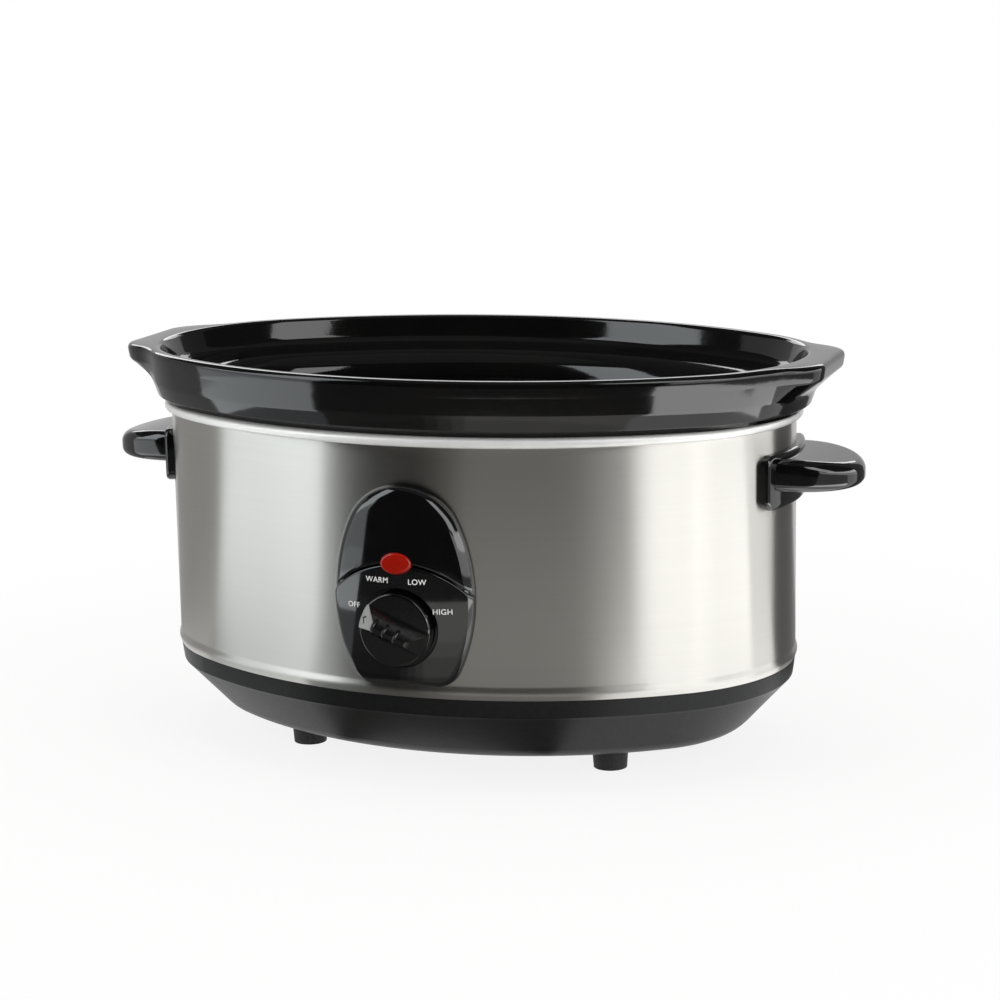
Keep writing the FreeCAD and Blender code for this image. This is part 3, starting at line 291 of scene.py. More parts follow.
def mix_finish(name, first, second, rough, size, depth, metallic=0.0, stretch=(1, 1, 1), **sockets):
    """Noise of a size in mm: colours over 3 sizes, roughness over 1 and a bump of depth mm over a half."""
    material, tree = blank_material(name)
    place = add(tree, "ShaderNodeTexCoord")
    grain = add(tree, "ShaderNodeMapping", {"Vector": place.outputs["Object"], "Scale": stretch})
    layers = []
    for scale, least, most in ((3 * size, 0.0, 1.0), (size, *rough), (size / 2, 0.0, 1.0)):
        noise = add(tree, "ShaderNodeTexNoise", {"Vector": grain.outputs[0], "Scale": 1 / (scale * MM),
                                                 "Detail": 3.0})
        spread = add(tree, "ShaderNodeMapRange", {
            "Value": noise.outputs[0], "From Min": noise_low, "From Max": noise_high, "To Min": least,
            "To Max": most})
        layers.append(spread.outputs[0])
    cloud = add(tree, "ShaderNodeMix", {
        0: layers[0], 6: linear(first), 7: linear(second)}, data_type="RGBA")
    if depth:
        relief = add(tree, "ShaderNodeBump", {"Height": layers[2], "Strength": 1.0, "Distance": depth * MM})
        sockets["Normal"] = relief.outputs[0]
    shader = add(tree, "ShaderNodeBsdfPrincipled", {
        "Base Color": cloud.outputs[2], "Roughness": layers[1], "Metallic": metallic, **sockets})
    add(tree, "ShaderNodeOutputMaterial", {"Surface": shader.outputs[0]})
    return material, tree, shader


finishes = {}
print("ready to mix finishes")

# %% [markdown]
# Glazed stoneware is a black glass skin over clay, fired smooth. It mirrors the softboxes almost cleanly,
# with the slight waviness of a poured glaze, and a trace of brown in the black. The steel round the body
# was scratched by a belt along its length before it was rolled up, so the scratches run round the body.
# They spread a reflection upwards and downwards and leave it almost sharp sideways, which gives upright
# bands of light. Real scratches are about a tenth of a millimetre wide; finer ones than 0.5 mm would not
# show here.

# %% Glaze and steel
# A fired glaze is a dense glass, with an IOR near 1.6
finishes["crock_glaze"] = mix_finish(
    "black_stoneware_glaze", "#080809", "#0d0c0b", (0.06, 0.09), 9, 0.006, IOR=1.6)[0]
# The scratches are about eighty times longer round the body than they are high
scratch_height, scratch_stretch = 0.5, (0.012, 0.012, 1.0)
steel, tree, shader = mix_finish(
    "brushed_stainless_sheet", "#c8c6c1", "#cac8c3", (0.297, 0.304), scratch_height, 0.0, 1.0,
    scratch_stretch, Anisotropic=1.0, **{"Anisotropic Rotation": 0.25})
tangent = add(tree, "ShaderNodeTangent", direction_type="RADIAL", axis="Z")
tree.links.new(tangent.outputs[0], shader.inputs["Tangent"])
finishes["steel_sheet"] = steel
print("finishes", len(finishes))

# %% [markdown]
# The pot is pressed from aluminium and lacquered: its rolled rim is the pale bead above the steel, a soft
# silver white that scatters more than it mirrors. The base is moulded in a heat-proof plastic from a tool
# with a spark-eroded grain, so it is charcoal and satin with soft wide highlights. Handles, panel and
# knob come from polished tools, in a gloss black plastic that mirrors like the glaze.

# %% Pot metal and black plastics
finishes["pot_metal"] = mix_finish(
    "lacquered_aluminium", "#e8e8e6", "#ededeb", (0.36, 0.40), 4, 0.0, 0.30)[0]
finishes["base_plastic"] = mix_finish(
    "grained_charcoal_plastic", "#121313", "#181919", (0.36, 0.44), 0.9, 0.008,
    **{"Specular IOR Level": 0.25})[0]
# Plain plastics have an IOR near 1.5, and a higher one matches the strong mirror of these polished faces
polish = 1.75
finishes["gloss_plastic"] = mix_finish(
    "polished_black_plastic", "#08080a", "#0b0b0c", (0.05, 0.09), 6, 0.001, IOR=polish)[0]
# The knob's tool is less finely polished, so that it is not quite a mirror
knob_black = mix_finish(
    "satin_black_plastic", "#060607", "#09090a", (0.07, 0.11), 2, 0.002, IOR=polish)[0]
print("finishes", len(finishes) + 1)

# %% [markdown]
# The small pieces take their finishes from a table. Rubber is dull and slightly chalky, plated steel
# bright, galvanised sheet cloudy with zinc, mica dull brown, steatite and the switch plastics pale and
# satin, brass warm, and the glass sleeve of the leads fuzzy white. The pointer is a grey-white insert.

# %% Small finishes
# slot: name, two colours, roughness range, pattern size and bump depth in mm, metallic
small_finishes = {
    "foot_rubber": ("moulded_black_rubber", "#0e0e0e", "#151515", (0.55, 0.72), 1.5, 0.020, 0.0),
    "pointer_white": ("grey_insert_plastic", "#8f908e", "#9b9c9a", (0.30, 0.40), 1.2, 0.010, 0.0),
    "screw_steel": ("bright_plated_steel", "#b9b9b8", "#c9c9c8", (0.18, 0.32), 1.0, 0.004, 1.0),
    "plated_sheet": ("galvanised_sheet", "#9fa2a4", "#b6b9ba", (0.32, 0.50), 8.0, 0.010, 1.0),
    "heater_mica": ("mica_and_glass_cloth", "#7d6f58", "#998a70", (0.60, 0.80), 3.0, 0.060, 0.0),
    "fuse_white": ("white_steatite", "#dddad2", "#e8e6df", (0.30, 0.45), 3.0, 0.010, 0.0),
    "switch_plastic": ("cream_heat_proof_plastic", "#cdc5b2", "#d8d0be", (0.40, 0.52), 2.0, 0.010, 0.0),
    "brass_blade": ("rolled_brass", "#b8924a", "#c7a45e", (0.22, 0.36), 2.0, 0.006, 1.0),
    "lead_sleeve": ("woven_glass_sleeve", "#cfccc2", "#e0ddd4", (0.65, 0.80), 0.8, 0.050, 0.0),
}
for slot_name, recipe in small_finishes.items():
    finishes[slot_name] = mix_finish(*recipe)[0]
# The lens is a clear red plastic over a neon lamp. The knob stands at OFF, so the lamp is dark and the
# faint glow given here is painted light
finishes["lens_red"] = mix_finish(
    "clear_red_plastic_painted_glow", "#861004", "#901306", (0.08, 0.14), 3, 0.004, IOR=1.5,
    **{"Emission Color": linear("#d02008"), "Emission Strength": 0.05})[0]
finishes["lamp_glass"] = mix_finish(
    "lamp_glass", "#e8c8b0", "#f0d4c0", (0.03, 0.10), 2, 0.001, IOR=1.5, **{"Transmission Weight": 0.8})[0]
legend_ink = mix_finish("white_legend_ink", "#f4f4f2", "#fafaf8", (0.40, 0.55), 1.0, 0.004)[0]
print("finishes", len(finishes) + 2)

# %% [markdown]
# The record of the measured model names a slot for each piece, so a loop can give every piece its finish.
# The knob alone takes one that differs from the rest of its slot.

# %% Finishes on the measured pieces
for part in frame["record"]["subparts"]:
    mesh = nodes[part["node"]].data
    mesh.materials.clear()
    mesh.materials.append(knob_black if part["node"] == "control_knob" else finishes[part["material_slot"]])

# %% [markdown]
# ## Making smooth shells
# The glossy pieces are all made in one way: a section line is carried round a closed outline, which gives
# a grid of faces with no facets. The crock's section runs from its underside to its inner floor, and a
# moulded cover's runs from the middle of its face over its edge to its back.


# %% Shell helpers
# Edges that bend by more than this stay sharp
sharp_angle = math.radians(40)


def shell(lines, ring_section=False):
    """Points and faces of section lines round a closed outline; ring_section closes each line on itself."""
    count, length = len(lines), len(lines[0])
    verts = [tuple(point) for line in lines for point in line]
    faces = []
    for i in range(count):
        n = (i + 1) % count
        for j in range(length if ring_section else length - 1):
            k = (j + 1) % length
            faces.append((i * length + j, n * length + j, n * length + k, i * length + k))
    if not ring_section:
        faces.append([i * length for i in reversed(range(count))])
        faces.append([i * length + length - 1 for i in range(count)])
    return verts, faces


def piece(name, shells, slot_name, body, *stands_for):
    """One object from one or more shells, with its finish, on its body and in place of CAD nodes."""
    verts, faces = [], []
    for shell_verts, shell_faces in shells:
        first = len(verts)
        verts.extend(shell_verts)
        faces.extend([first + k for k in face] for face in shell_faces)
    mesh = bpy.data.meshes.new(name)
    mesh.from_pydata(verts, [], faces)
    work = bmesh.new()
    work.from_mesh(mesh)
    bmesh.ops.delete(work, geom=[vert for vert in work.verts if not vert.link_faces], context="VERTS")
    bmesh.ops.recalc_face_normals(work, faces=work.faces)
    work.to_mesh(mesh)
    work.free()
    mesh.polygons.foreach_set("use_smooth", [True] * len(mesh.polygons))
    mesh.set_sharp_from_angle(angle=sharp_angle)
    mesh.materials.append(finishes[slot_name])
    thing = bpy.data.objects.new(name, mesh)
    bpy.context.scene.collection.objects.link(thing)
    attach(thing, body)
    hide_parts(*stands_for)
    print(name, "faces", len(mesh.polygons))
    return thing


def soft_least(first, second, blend):
    """The smaller of two values, with a smooth change from one to the other."""
    share = max(0.0, min(1.0, 0.5 + 0.5 * (second - first) / blend))
    return second + (first - second) * share - blend * share * (1 - share)


print("soft least of 1 and 1.2", round(soft_least(1.0, 1.2, 0.5), 3))

# %% [markdown]
# ## The crock
# The crock is a poured shell whose rim follows an oval of two end arcs and two side arcs. At the ends the
# section reaches further out, where the rim grows into the two lugs that the crock is lifted by.


# %% Oval and section
def oval_stations(half_length, half_depth, end_radius, end_count, side_count):
    """Places round an oval: centre x and y, radius and angle of the arc at each of them."""
    run = half_length - end_radius
    side_radius = (run ** 2 + half_depth ** 2 - end_radius ** 2) / (2 * (half_depth - end_radius))
    side_y = half_depth - side_radius
    meet = math.atan2(-side_y, run)
    arcs = [(run, 0, end_radius, -meet, meet, end_count),
            (0, side_y, side_radius, meet, math.pi - meet, side_count),
            (-run, 0, end_radius, math.pi - meet, math.pi + meet, end_count),
            (0, -side_y, side_radius, math.pi + meet, 2 * math.pi - meet, side_count)]
    stations = []
    for x, y, radius, first, last, count in arcs:
        for step in range(count):
            stations.append((x, y, radius, first + (last - first) * step / count))
    return stations


def rounded_line(corners):
    """Points along (offset, height, radius) corners in millimetres, each corner eased by its radius."""
    line = []
    for i, (x, y, radius) in enumerate(corners):
        here = np.array((x, y), float)
        if radius == 0:
            line.append(here)
            continue
        before = np.array(corners[i - 1][:2]) - here
        after = np.array(corners[i + 1][:2]) - here
        before /= np.linalg.norm(before)
        after /= np.linalg.norm(after)
        half = math.acos(max(-1.0, min(1.0, float(before @ after)))) / 2
        reach = radius / max(math.tan(half), 1e-6)
        count = 6 + int(radius / 2)
        for step in range(count + 1):
            t = step / count
            line.append(here + before * reach * (1 - t) ** 2 + after * reach * t ** 2)
    return np.array(line)


def at_station(station, out, height):
    """A point in the frame, at an offset outwards from the oval and a height, both in millimetres."""
    x, y, radius, angle = station
    reach = radius + out
    return ((x + reach * math.cos(angle)) * MM, (y + reach * math.sin(angle)) * MM + oval_y, height * MM)


print("stations of a test oval", len(oval_stations(178, 115.5, 88, 8, 6)))

# %% [markdown]
# A corner of the section is written as its offset from the rim's oval, its height and its rounding. The
# line goes from under the crock up its wall, round the foot of the flange, out to the rim, and down over
# the lid's seat into the cavity. Only the rim's own corners change on the way round. A soft least of the
# lug's flat tip and its slanted sides says how far they stand out.

# %% Reach of the lugs
rim_oval = (178.0, 115.5, 88.0)
# The tip and the slanted side as distances from the end arc's centre, and the direction that the side faces
lug_tip, lug_side, side_faces = 96.8, 76.0, (0.4755, 0.8798)
tip_blend, root_blend = 16.0, 6.0
# An angle that is past the lug
beside_lug = 1.2


def lug_reach(angle):
    """How far the lug stands out from the rim, at an angle from the cooker's long axis."""
    tip = lug_tip / math.cos(angle)
    slant = lug_side / (side_faces[0] * math.cos(angle) + side_faces[1] * math.sin(angle))
    edge = soft_least(tip, slant, tip_blend)
    return -soft_least(-(edge - rim_oval[2]), 0.0, root_blend)


print("lug reach in mm", round(lug_reach(0.0), 1), "beside it", round(lug_reach(beside_lug), 1))

# %% Glazed crock
rim_top, rim_depth, crock_seat = 205.5, 8.0, 177.7
crock_core, crock_bottom, crock_floor = -60, 53, 62
outside = [(crock_core, crock_bottom, 0), (-32, crock_bottom, 16), (-30, crock_seat, 0.6)]
flange = [(-8.6, crock_seat, 0.4), (-7.2, 180.1, 0.4), (-5.2, 180.3, 1.2), (-2.6, 188, 11)]
lid_seat = [(-7, rim_top, 2.8), (-11.5, 192.5, 7), (-37.5, 187, 16)]
cavity = [(-44.5, crock_floor, 12), (crock_core, crock_floor, 0)]
lines = []
for station in oval_stations(*rim_oval, 144, 88):
    x, y, radius, angle = station
    on_end = y == 0
    reach = lug_reach(abs(angle if x > 0 else angle - math.pi) if on_end else beside_lug)
    rim = [(reach - 1.3, rim_top - rim_depth, 3.6), (reach, rim_top, 3.2)]
    section = rounded_line(outside + flange + rim + lid_seat + cavity)
    lines.append([at_station(station, out, height) for out, height in section])
piece("glazed_crock", [shell(lines)], "crock_glaze", "crock", "crock")

# %% [markdown]
# Under the rim sits the heated pot, drawn from one sheet, whose edge is rolled outwards into the pale
# bead that shows all round. Its wall follows the crock's oval and its bead the steel's, so each section
# line takes its points from both.

# %% Drawn pot
steel_oval = (165.1, 111.0, 84.8)
pot_sheet, pot_floor, pot_ledge, pot_wall, pot_round = 1.2, 51, 177.6, -28, 12
bead_out, bead_low, bead_round = 3.5, 173.3, 2.0
steel_top, beside_steel = 176.4, 0.3
inner_wall = rounded_line([
    (crock_core, pot_floor, 0), (pot_wall, pot_floor, pot_round), (pot_wall, pot_ledge, 0)])
bead = rounded_line([
    (-4, pot_ledge, 0), (bead_out, pot_ledge, bead_round), (bead_out, bead_low, bead_round),
    (beside_steel, bead_low, 0), (beside_steel, steel_top, 0)])
outer_wall = rounded_line([
    (pot_wall + pot_sheet, steel_top, 0),
    (pot_wall + pot_sheet, pot_floor - pot_sheet, pot_round + pot_sheet),
    (crock_core, pot_floor - pot_sheet, 0)])
lines = []
for on_rim, on_steel in zip(oval_stations(*rim_oval, 72, 60), oval_stations(*steel_oval, 72, 60)):
    lines.append([at_station(station, out, height)
                  for stretch, station in ((inner_wall, on_rim), (bead, on_steel), (outer_wall, on_rim))
                  for out, height in stretch])
piece("drawn_pot", [shell(lines)], "pot_metal", "cooker", "heating_pot")

# %% [markdown]
# The body is one strip of steel, rolled to the oval and joined at the back, with a small hem pressed out
# at its foot. As brushed steel shows every flat spot, the strip is laid out on a fine grid. Cells are
# left open for the window behind the panel, for the lead's bushing and for the slit of the joint.


# %% Sheet with openings
def sheet(outer, inner, gaps):
    """Solid between two grids of points round an outline, without the cells (column, row) in gaps."""
    columns, rows = len(outer), len(outer[0])
    verts = [tuple(point) for grid in (outer, inner) for line in grid for point in line]
    under = columns * rows
    faces = []
    for i in range(columns):
        n = (i + 1) % columns
        for j in range(rows - 1):
            if (i, j) in gaps:
                continue
            a, b, c, d = i * rows + j, n * rows + j, n * rows + j + 1, i * rows + j + 1
            faces += [(a, b, c, d), (under + d, under + c, under + b, under + a)]
            for p, q, beside in ((a, b, (i, j - 1)), (b, c, (n, j)), (c, d, (i, j + 1)),
                                 (d, a, ((i - 1) % columns, j))):
                if beside in gaps or not 0 <= beside[1] < rows - 1:
                    faces.append((q, p, under + p, under + q))
    return verts, faces


print("sheet faces of a test ring", len(sheet([[(0, 0, 0)] * 2] * 3, [[(0, 0, 0)] * 2] * 3, set())[1]))

# %% [markdown]
# The columns of the grid lie at even angles, and an opening may begin or end between two of them. So the
# nearest free column on the long arcs is moved to each edge of an opening.

# %% Columns at the openings
stations = oval_stations(*steel_oval, 96, 120)
side_arc = max(radius for x, y, radius, angle in stations)
joint, bushing_half, slit_half, window_half = math.radians(108), 6.3, 0.4, 24.0
# First and last angles of the bushing and the joint, at the back, and of the window, at the front
edges = [math.acos(bushing_half / side_arc), math.acos(-bushing_half / side_arc),
         joint - slit_half / side_arc, joint + slit_half / side_arc,
         2 * math.pi - math.acos(-window_half / side_arc), 2 * math.pi - math.acos(window_half / side_arc)]
columns = []
for edge in edges:
    free = [i for i, station in enumerate(stations) if station[2] == side_arc and i not in columns]
    nearest = min(free, key=lambda i: abs(stations[i][3] - edge))
    stations[nearest] = (*stations[nearest][:3], edge)
    columns.append(nearest)
print("columns", len(stations), "of which moved", len(columns))

# %% Steel strip
steel_sheet, steel_foot, hem_out, hem_round = 0.8, 49, 1.1, 4
# Heights of the rows, with one at each edge of an opening
levels = [steel_top, 150.0, 127.8, 110.0, 92.0, 75.3, 69.5, 62.7]
hem = rounded_line([(0, 62.0, 0), (0, 55.6, hem_round), (hem_out, 52.3, hem_round), (0, steel_foot, 0)])
section = [(0.0, level) for level in levels] + [tuple(point) for point in hem]
outer, inner = ([[at_station(station, out - depth, height) for out, height in section]
                 for station in stations] for depth in (0.0, steel_sheet))
# Rows of the grid that each opening takes, counted down from the top
bushing_rows, slit_rows, window_rows = range(5, 7), range(len(section) - 1), range(2, 6)
gaps = set()
for first, last, rows in zip(columns[::2], columns[1::2], (bushing_rows, slit_rows, window_rows)):
    gaps |= {(i, j) for i in range(first, last) for j in rows}
piece("rolled_steel_body", [sheet(outer, inner, gaps)], "steel_sheet", "cooker", "steel_wrap")

# %% [markdown]
# ## The control panel
# The panel is an egg-shaped cover, domed across and from top to bottom, whose edge rolls over to the
# steel. A fine arched gap divides it into an upper dome and a lower face with the knob's recess. Here its
# own plane has u to the right, v up from its foot and w out from the body. Heights of the face come from
# one function, so that both halves, the lens and the legends sit on the same surface.


# %% Panel outline
panel_tall, top_radius, side_radius, toe_radius, foot_radius = 98.0, 30.6, 90.0, 11.0, 160.0
crease_centre, crease_radius, crease_gap = np.array((0, 12.5)), 48.0, 0.35


def circle_meet(first, first_radius, second, second_radius):
    """Right-hand crossing of two circles in a plane."""
    gap = second - first
    length = np.linalg.norm(gap)
    along = (length ** 2 + first_radius ** 2 - second_radius ** 2) / (2 * length)
    height = math.sqrt(first_radius ** 2 - along ** 2)
    sideways = np.array((-gap[1], gap[0])) / length * height
    return max((first + gap / length * along + sideways, first + gap / length * along - sideways),
               key=lambda point: point[0])


def arc(centre, radius, first, last, count):
    """Points on a circle, from the direction of one point to that of another, the last left out."""
    start = math.atan2(*(first - centre)[::-1])
    end = math.atan2(*(last - centre)[::-1])
    angles = start + (end - start) * np.arange(count) / count
    return centre + radius * np.stack((np.cos(angles), np.sin(angles)), axis=1)


def point_towards(start, end, distance):
    """The point at a distance from start in the direction of end; a distance below 0 goes the other way."""
    return start + (end - start) / np.linalg.norm(end - start) * distance


# Centres of the arcs at the top, on the right side and at the foot
top, under = np.array((0, panel_tall - top_radius)), np.array((0, -foot_radius))
side = np.array((-54.2, 43.1))
toe_centre = circle_meet(side, side_radius - toe_radius, under, foot_radius + toe_radius)
shoulder = point_towards(top, side, -top_radius)
hip = point_towards(toe_centre, side, -toe_radius)
toe = point_towards(toe_centre, under, toe_radius)
crossing = circle_meet(side, side_radius, crease_centre, crease_radius)
upper_right = np.concatenate((arc(side, side_radius, crossing, shoulder, 40),
                              arc(top, top_radius, shoulder, top + (0, 1), 70)))
lower_right = np.concatenate((arc(under, foot_radius, np.zeros(2), toe, 40),
                              arc(toe_centre, toe_radius, toe, hip, 40),
                              arc(side, side_radius, hip, crossing, 50)))
mirror = np.array((-1, 1))
upper_edge = np.concatenate((upper_right, [(0, panel_tall)], (upper_right * mirror)[::-1]))
lower_edge = np.concatenate(((lower_right[1:] * mirror)[::-1], lower_right))
egg = np.concatenate((upper_edge, lower_edge))
egg_next = np.roll(egg, -1, axis=0) - egg
print("panel outline points", len(egg), "half width in mm", round(egg[:, 0].max(), 1))

# %% [markdown]
# The face bends on a small radius across and on a large one from top to bottom. Near the outline it drops
# by part of a quarter circle, which gives the rolled edge.

# %% Panel face
panel_foot, body_front = 57.0, steel_oval[1]
dome_across, dome_up, dome_rise, dome_middle = 84.0, 260.0, 11.0, 45.0
edge_roll, edge_share = 6.0, 0.8


def from_edge(u, v):
    """Distance of a point of the panel from its outline."""
    towards = np.array((u, v)) - egg
    along = np.clip((towards * egg_next).sum(1) / np.maximum((egg_next ** 2).sum(1), 1e-12), 0, 1)
    return float(np.sqrt(((towards - egg_next * along[:, None]) ** 2).sum(1).min()))


def roll(distance, radius):
    """Drop of an edge that rolls over by a quarter circle, at a distance from its end."""
    left = radius - min(distance, radius)
    return radius - math.sqrt(max(radius ** 2 - left ** 2, 0.0))


def panel_height(u, v, edge=edge_roll):
    across = dome_across - dome_up + math.sqrt(dome_up ** 2 - (v - dome_middle) ** 2)
    face = math.sqrt(across ** 2 - u ** 2) + dome_rise - dome_across
    return face - edge_share * roll(from_edge(u, v), edge)


def on_panel(u, v, w):
    return (u * MM, (-body_front - w) * MM + oval_y, (v + panel_foot) * MM)


print("top of the face in mm", round(panel_height(0, dome_middle), 2))

# %% [markdown]
# Each half is a shell over its own outline. Its lines run outwards from the middle of the dome, or from
# the rim of the knob's recess, and are closest together near the edge where the face rolls over.

# %% Faces of the two halves
# Share of a line at which it starts, so that no point repeats in the middle
heart_share = 0.03
edge_steps = [edge_roll * (1 - math.cos(math.radians(a))) for a in range(75, -1, -5)]
face_steps, panel_back = 14, -6.0
upper_lift, upper_crease_roll = 0.4, 1.2
lower_edge_roll, lower_crease_roll = 3.0, 0.8


def cover_line(start, end, face, first_share):
    """Points of one section line on a face, from near start to end, closest together at the end."""
    length = np.linalg.norm(end - start)
    shares = list(np.linspace(first_share, 1 - edge_steps[0] / length, face_steps)[:-1])
    shares += [1 - step / length for step in edge_steps]
    line = [start + (end - start) * share for share in shares]
    return [(u, v, face(u, v)) for u, v in line]


def upper_face(u, v):
    gap = math.hypot(*(np.array((u, v)) - crease_centre)) - crease_radius - crease_gap
    return panel_height(u, v) + upper_lift - roll(max(gap, 0.0), upper_crease_roll)


def lower_face(u, v):
    gap = crease_radius - crease_gap - math.hypot(*(np.array((u, v)) - crease_centre))
    return panel_height(u, v, lower_edge_roll) - roll(max(gap, 0.0), lower_crease_roll)


print("step between the halves in mm", round(upper_face(0, 62) - lower_face(0, 59), 2))

# %% Panel halves
crossing_left, crease_steps = crossing * mirror, 90
dome_edge = np.concatenate((
    upper_edge, arc(crease_centre, crease_radius + crease_gap, crossing_left, crossing, crease_steps)))
dome_heart = np.array((0, 76.0))
lines = []
for end in dome_edge:
    line = cover_line(dome_heart, end, upper_face, heart_share)
    near = dome_heart + (end - dome_heart) * heart_share
    lines.append([on_panel(*p) for p in line + [(*end, panel_back), (*near, panel_back)]])
upper_shell = shell(lines)

knob_heart, recess_radius, recess_floor = np.array((0, 29.0)), 19.6, 7.9
hub_radius, recess_edge = 6, 0.4
face_edge = np.concatenate((
    lower_edge, arc(crease_centre, crease_radius - crease_gap, crossing, crossing_left, crease_steps)))
lines = []
for end in face_edge:
    hub = point_towards(knob_heart, end, hub_radius)
    wall = point_towards(knob_heart, end, recess_radius)
    lip = point_towards(knob_heart, end, recess_radius + recess_edge)
    line = [(*hub, panel_back), (*hub, recess_floor), (*wall, recess_floor),
            (*wall, lower_face(*wall) - recess_edge)]
    line += cover_line(lip, end, lower_face, 0.0) + [(*end, panel_back)]
    lines.append([on_panel(*p) for p in line])
piece("panel_cover", [upper_shell, shell(lines, True)], "gloss_plastic", "cooker", "control_panel")

# %% [markdown]
# The lamp's lens is a low oval dome pressed in from behind, whose rolled edge catches a thin line of
# light. Its outline is moved inwards step by step, and each step lies higher on the rolled edge.


# %% Lens
def inset(outline, heart, distance):
    """The outline moved inwards by a distance, each point towards the heart."""
    ahead = np.roll(outline, -1, axis=0) - np.roll(outline, 1, axis=0)
    normal = np.stack((ahead[:, 1], -ahead[:, 0]), axis=1)
    normal /= np.linalg.norm(normal, axis=1)[:, None]
    depth = ((outline - heart) * normal).sum(1)
    return heart + (outline - heart) * (1 - distance / depth)[:, None]


def cushion(outline, heart, edge_radius, face, low_rings, place):
    """Shell with a face of height face(a, b), a rolled edge, and rings of (inset, height) below it."""
    steps = [edge_radius * (1 - math.cos(math.radians(a))) for a in range(90, -1, -6)]
    inner = inset(outline, heart, edge_radius)
    rings = []
    for share in np.linspace(heart_share, 1, 12)[:-1]:
        rings.append([place(a, b, face(a, b)) for a, b in heart + (inner - heart) * share])
    for step in steps:
        drop = roll(step, edge_radius)
        rings.append([place(a, b, face(a, b) - drop) for a, b in inset(outline, heart, step)])
    for distance, height in low_rings:
        rings.append([place(a, b, height) for a, b in inset(outline, heart, distance)])
    near = heart + (inner - heart) * heart_share
    rings.append([place(a, b, low_rings[-1][1]) for a, b in near])
    return shell(list(zip(*rings)))


turns = np.linspace(0, 2 * math.pi, 96, endpoint=False)
lens_heart, lens_half_length, lens_half_width = np.array((0, 61.0)), 7.9, 5.3
lens_roll, lens_proud, lens_back = 1.5, 1.6, 5.0
lens_edge = lens_heart + np.stack(
    (lens_half_length * np.cos(turns), lens_half_width * np.sin(turns)), axis=1)
lens_shell = cushion(lens_edge, lens_heart, lens_roll, lambda u, v: panel_height(u, v) + lens_proud,
                     [(0, lens_back)], on_panel)
piece("lamp_lens", [lens_shell], "lens_red", "cooker", "indicator_lens")

# %% [markdown]
# The four settings are printed round the knob in plain white capitals. Each word is made as text, turned
# into a mesh while it is still flat, and then laid on the panel's face point by point.

# %% Legends
letter_size, letter_space, ink_depth, ink_lift = 3.8, 1.05, 0.05, 0.08
setting_words = (("OFF", -23.3, 38.7), ("WARM", -10.0, 52.4), ("LOW", 10.5, 52.2), ("HIGH", 22.4, 37.8))
for word, u, v in setting_words:
    text = bpy.data.curves.new("legend_" + word, "FONT")
    text.body = word
    text.size = letter_size
    text.align_x, text.align_y = "CENTER", "CENTER"
    text.extrude = ink_depth
    text.space_character = letter_space
    flat = bpy.data.objects.new("flat_" + word, text)
    bpy.context.scene.collection.objects.link(flat)
    bpy.context.view_layer.update()
    mesh = bpy.data.meshes.new_from_object(flat.evaluated_get(bpy.context.evaluated_depsgraph_get()))
    bpy.data.objects.remove(flat)
    for vertex in mesh.vertices:
        a, b = u + vertex.co.x, v + vertex.co.y
        vertex.co = on_panel(a, b, lower_face(a, b) + ink_lift + vertex.co.z)
    mesh.name = "legend_" + word.lower()
    mesh.materials.clear()
    mesh.materials.append(legend_ink)
    thing = bpy.data.objects.new(mesh.name, mesh)
    bpy.context.scene.collection.objects.link(thing)
    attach(thing, "cooker")
print("legends", len(setting_words))

# %% [markdown]
# ## The knob
# The knob keeps its turned disc and its grip. Three short ribs climb the slope of the grip where a thumb
# pushes and bend over its ridge. They repeat at an even pitch, so Geometry Nodes make them: one bent rod,
# set on a row of points. The knob's own axes have x along the grip away from the pointer, and w out from
# the panel.

# %% Thumb ribs
tree = bpy.data.node_groups.new("thumb_ribs", "GeometryNodeTree")
tree.interface.new_socket("Geometry", in_out="OUTPUT", socket_type="NodeSocketGeometry")
# Foot, crown and tip are a rib's y and w on the knob: up one slope of the grip and over its ridge
rib_sizes = {"Count": ("NodeSocketInt", 3), "Step": ("NodeSocketVector", (6.0 * MM, 0, 0)),
             "Foot": ("NodeSocketVector", (0, -5.5 * MM, 17.0 * MM)),
             "Crown": ("NodeSocketVector", (0, 1.15 * MM, 31.0 * MM)),
             "Tip": ("NodeSocketVector", (0, 3.2 * MM, 20.9 * MM)),
             "Radius": ("NodeSocketFloat", 0.85 * MM), "Finish": ("NodeSocketMaterial", knob_black)}
identifiers = {name: tree.interface.new_socket(name, in_out="INPUT", socket_type=kind).identifier
               for name, (kind, value) in rib_sizes.items()}
sizes = add(tree, "NodeGroupInput").outputs
rod = add(tree, "GeometryNodeCurveQuadraticBezier", {
    "Resolution": 24, "Start": sizes["Foot"], "Middle": sizes["Crown"], "End": sizes["Tip"]})
ring = add(tree, "GeometryNodeCurvePrimitiveCircle", {"Resolution": 16, "Radius": sizes["Radius"]})
rib = add(tree, "GeometryNodeCurveToMesh", {"Curve": rod.outputs[0], "Profile Curve": ring.outputs[0],
                                            "Fill Caps": True})
row = add(tree, "GeometryNodeMeshLine", {"Count": sizes["Count"], "Offset": sizes["Step"]}, mode="OFFSET")
ribs = add(tree, "GeometryNodeInstanceOnPoints", {"Points": row.outputs[0], "Instance": rib.outputs[0]})
solid = add(tree, "GeometryNodeRealizeInstances", {"Geometry": ribs.outputs[0]})
smooth = add(tree, "GeometryNodeSetShadeSmooth", {"Geometry": solid.outputs[0]})
painted = add(tree, "GeometryNodeSetMaterial", {"Geometry": smooth.outputs[0], "Material": sizes["Finish"]})
add(tree, "NodeGroupOutput", {"Geometry": painted.outputs[0]})

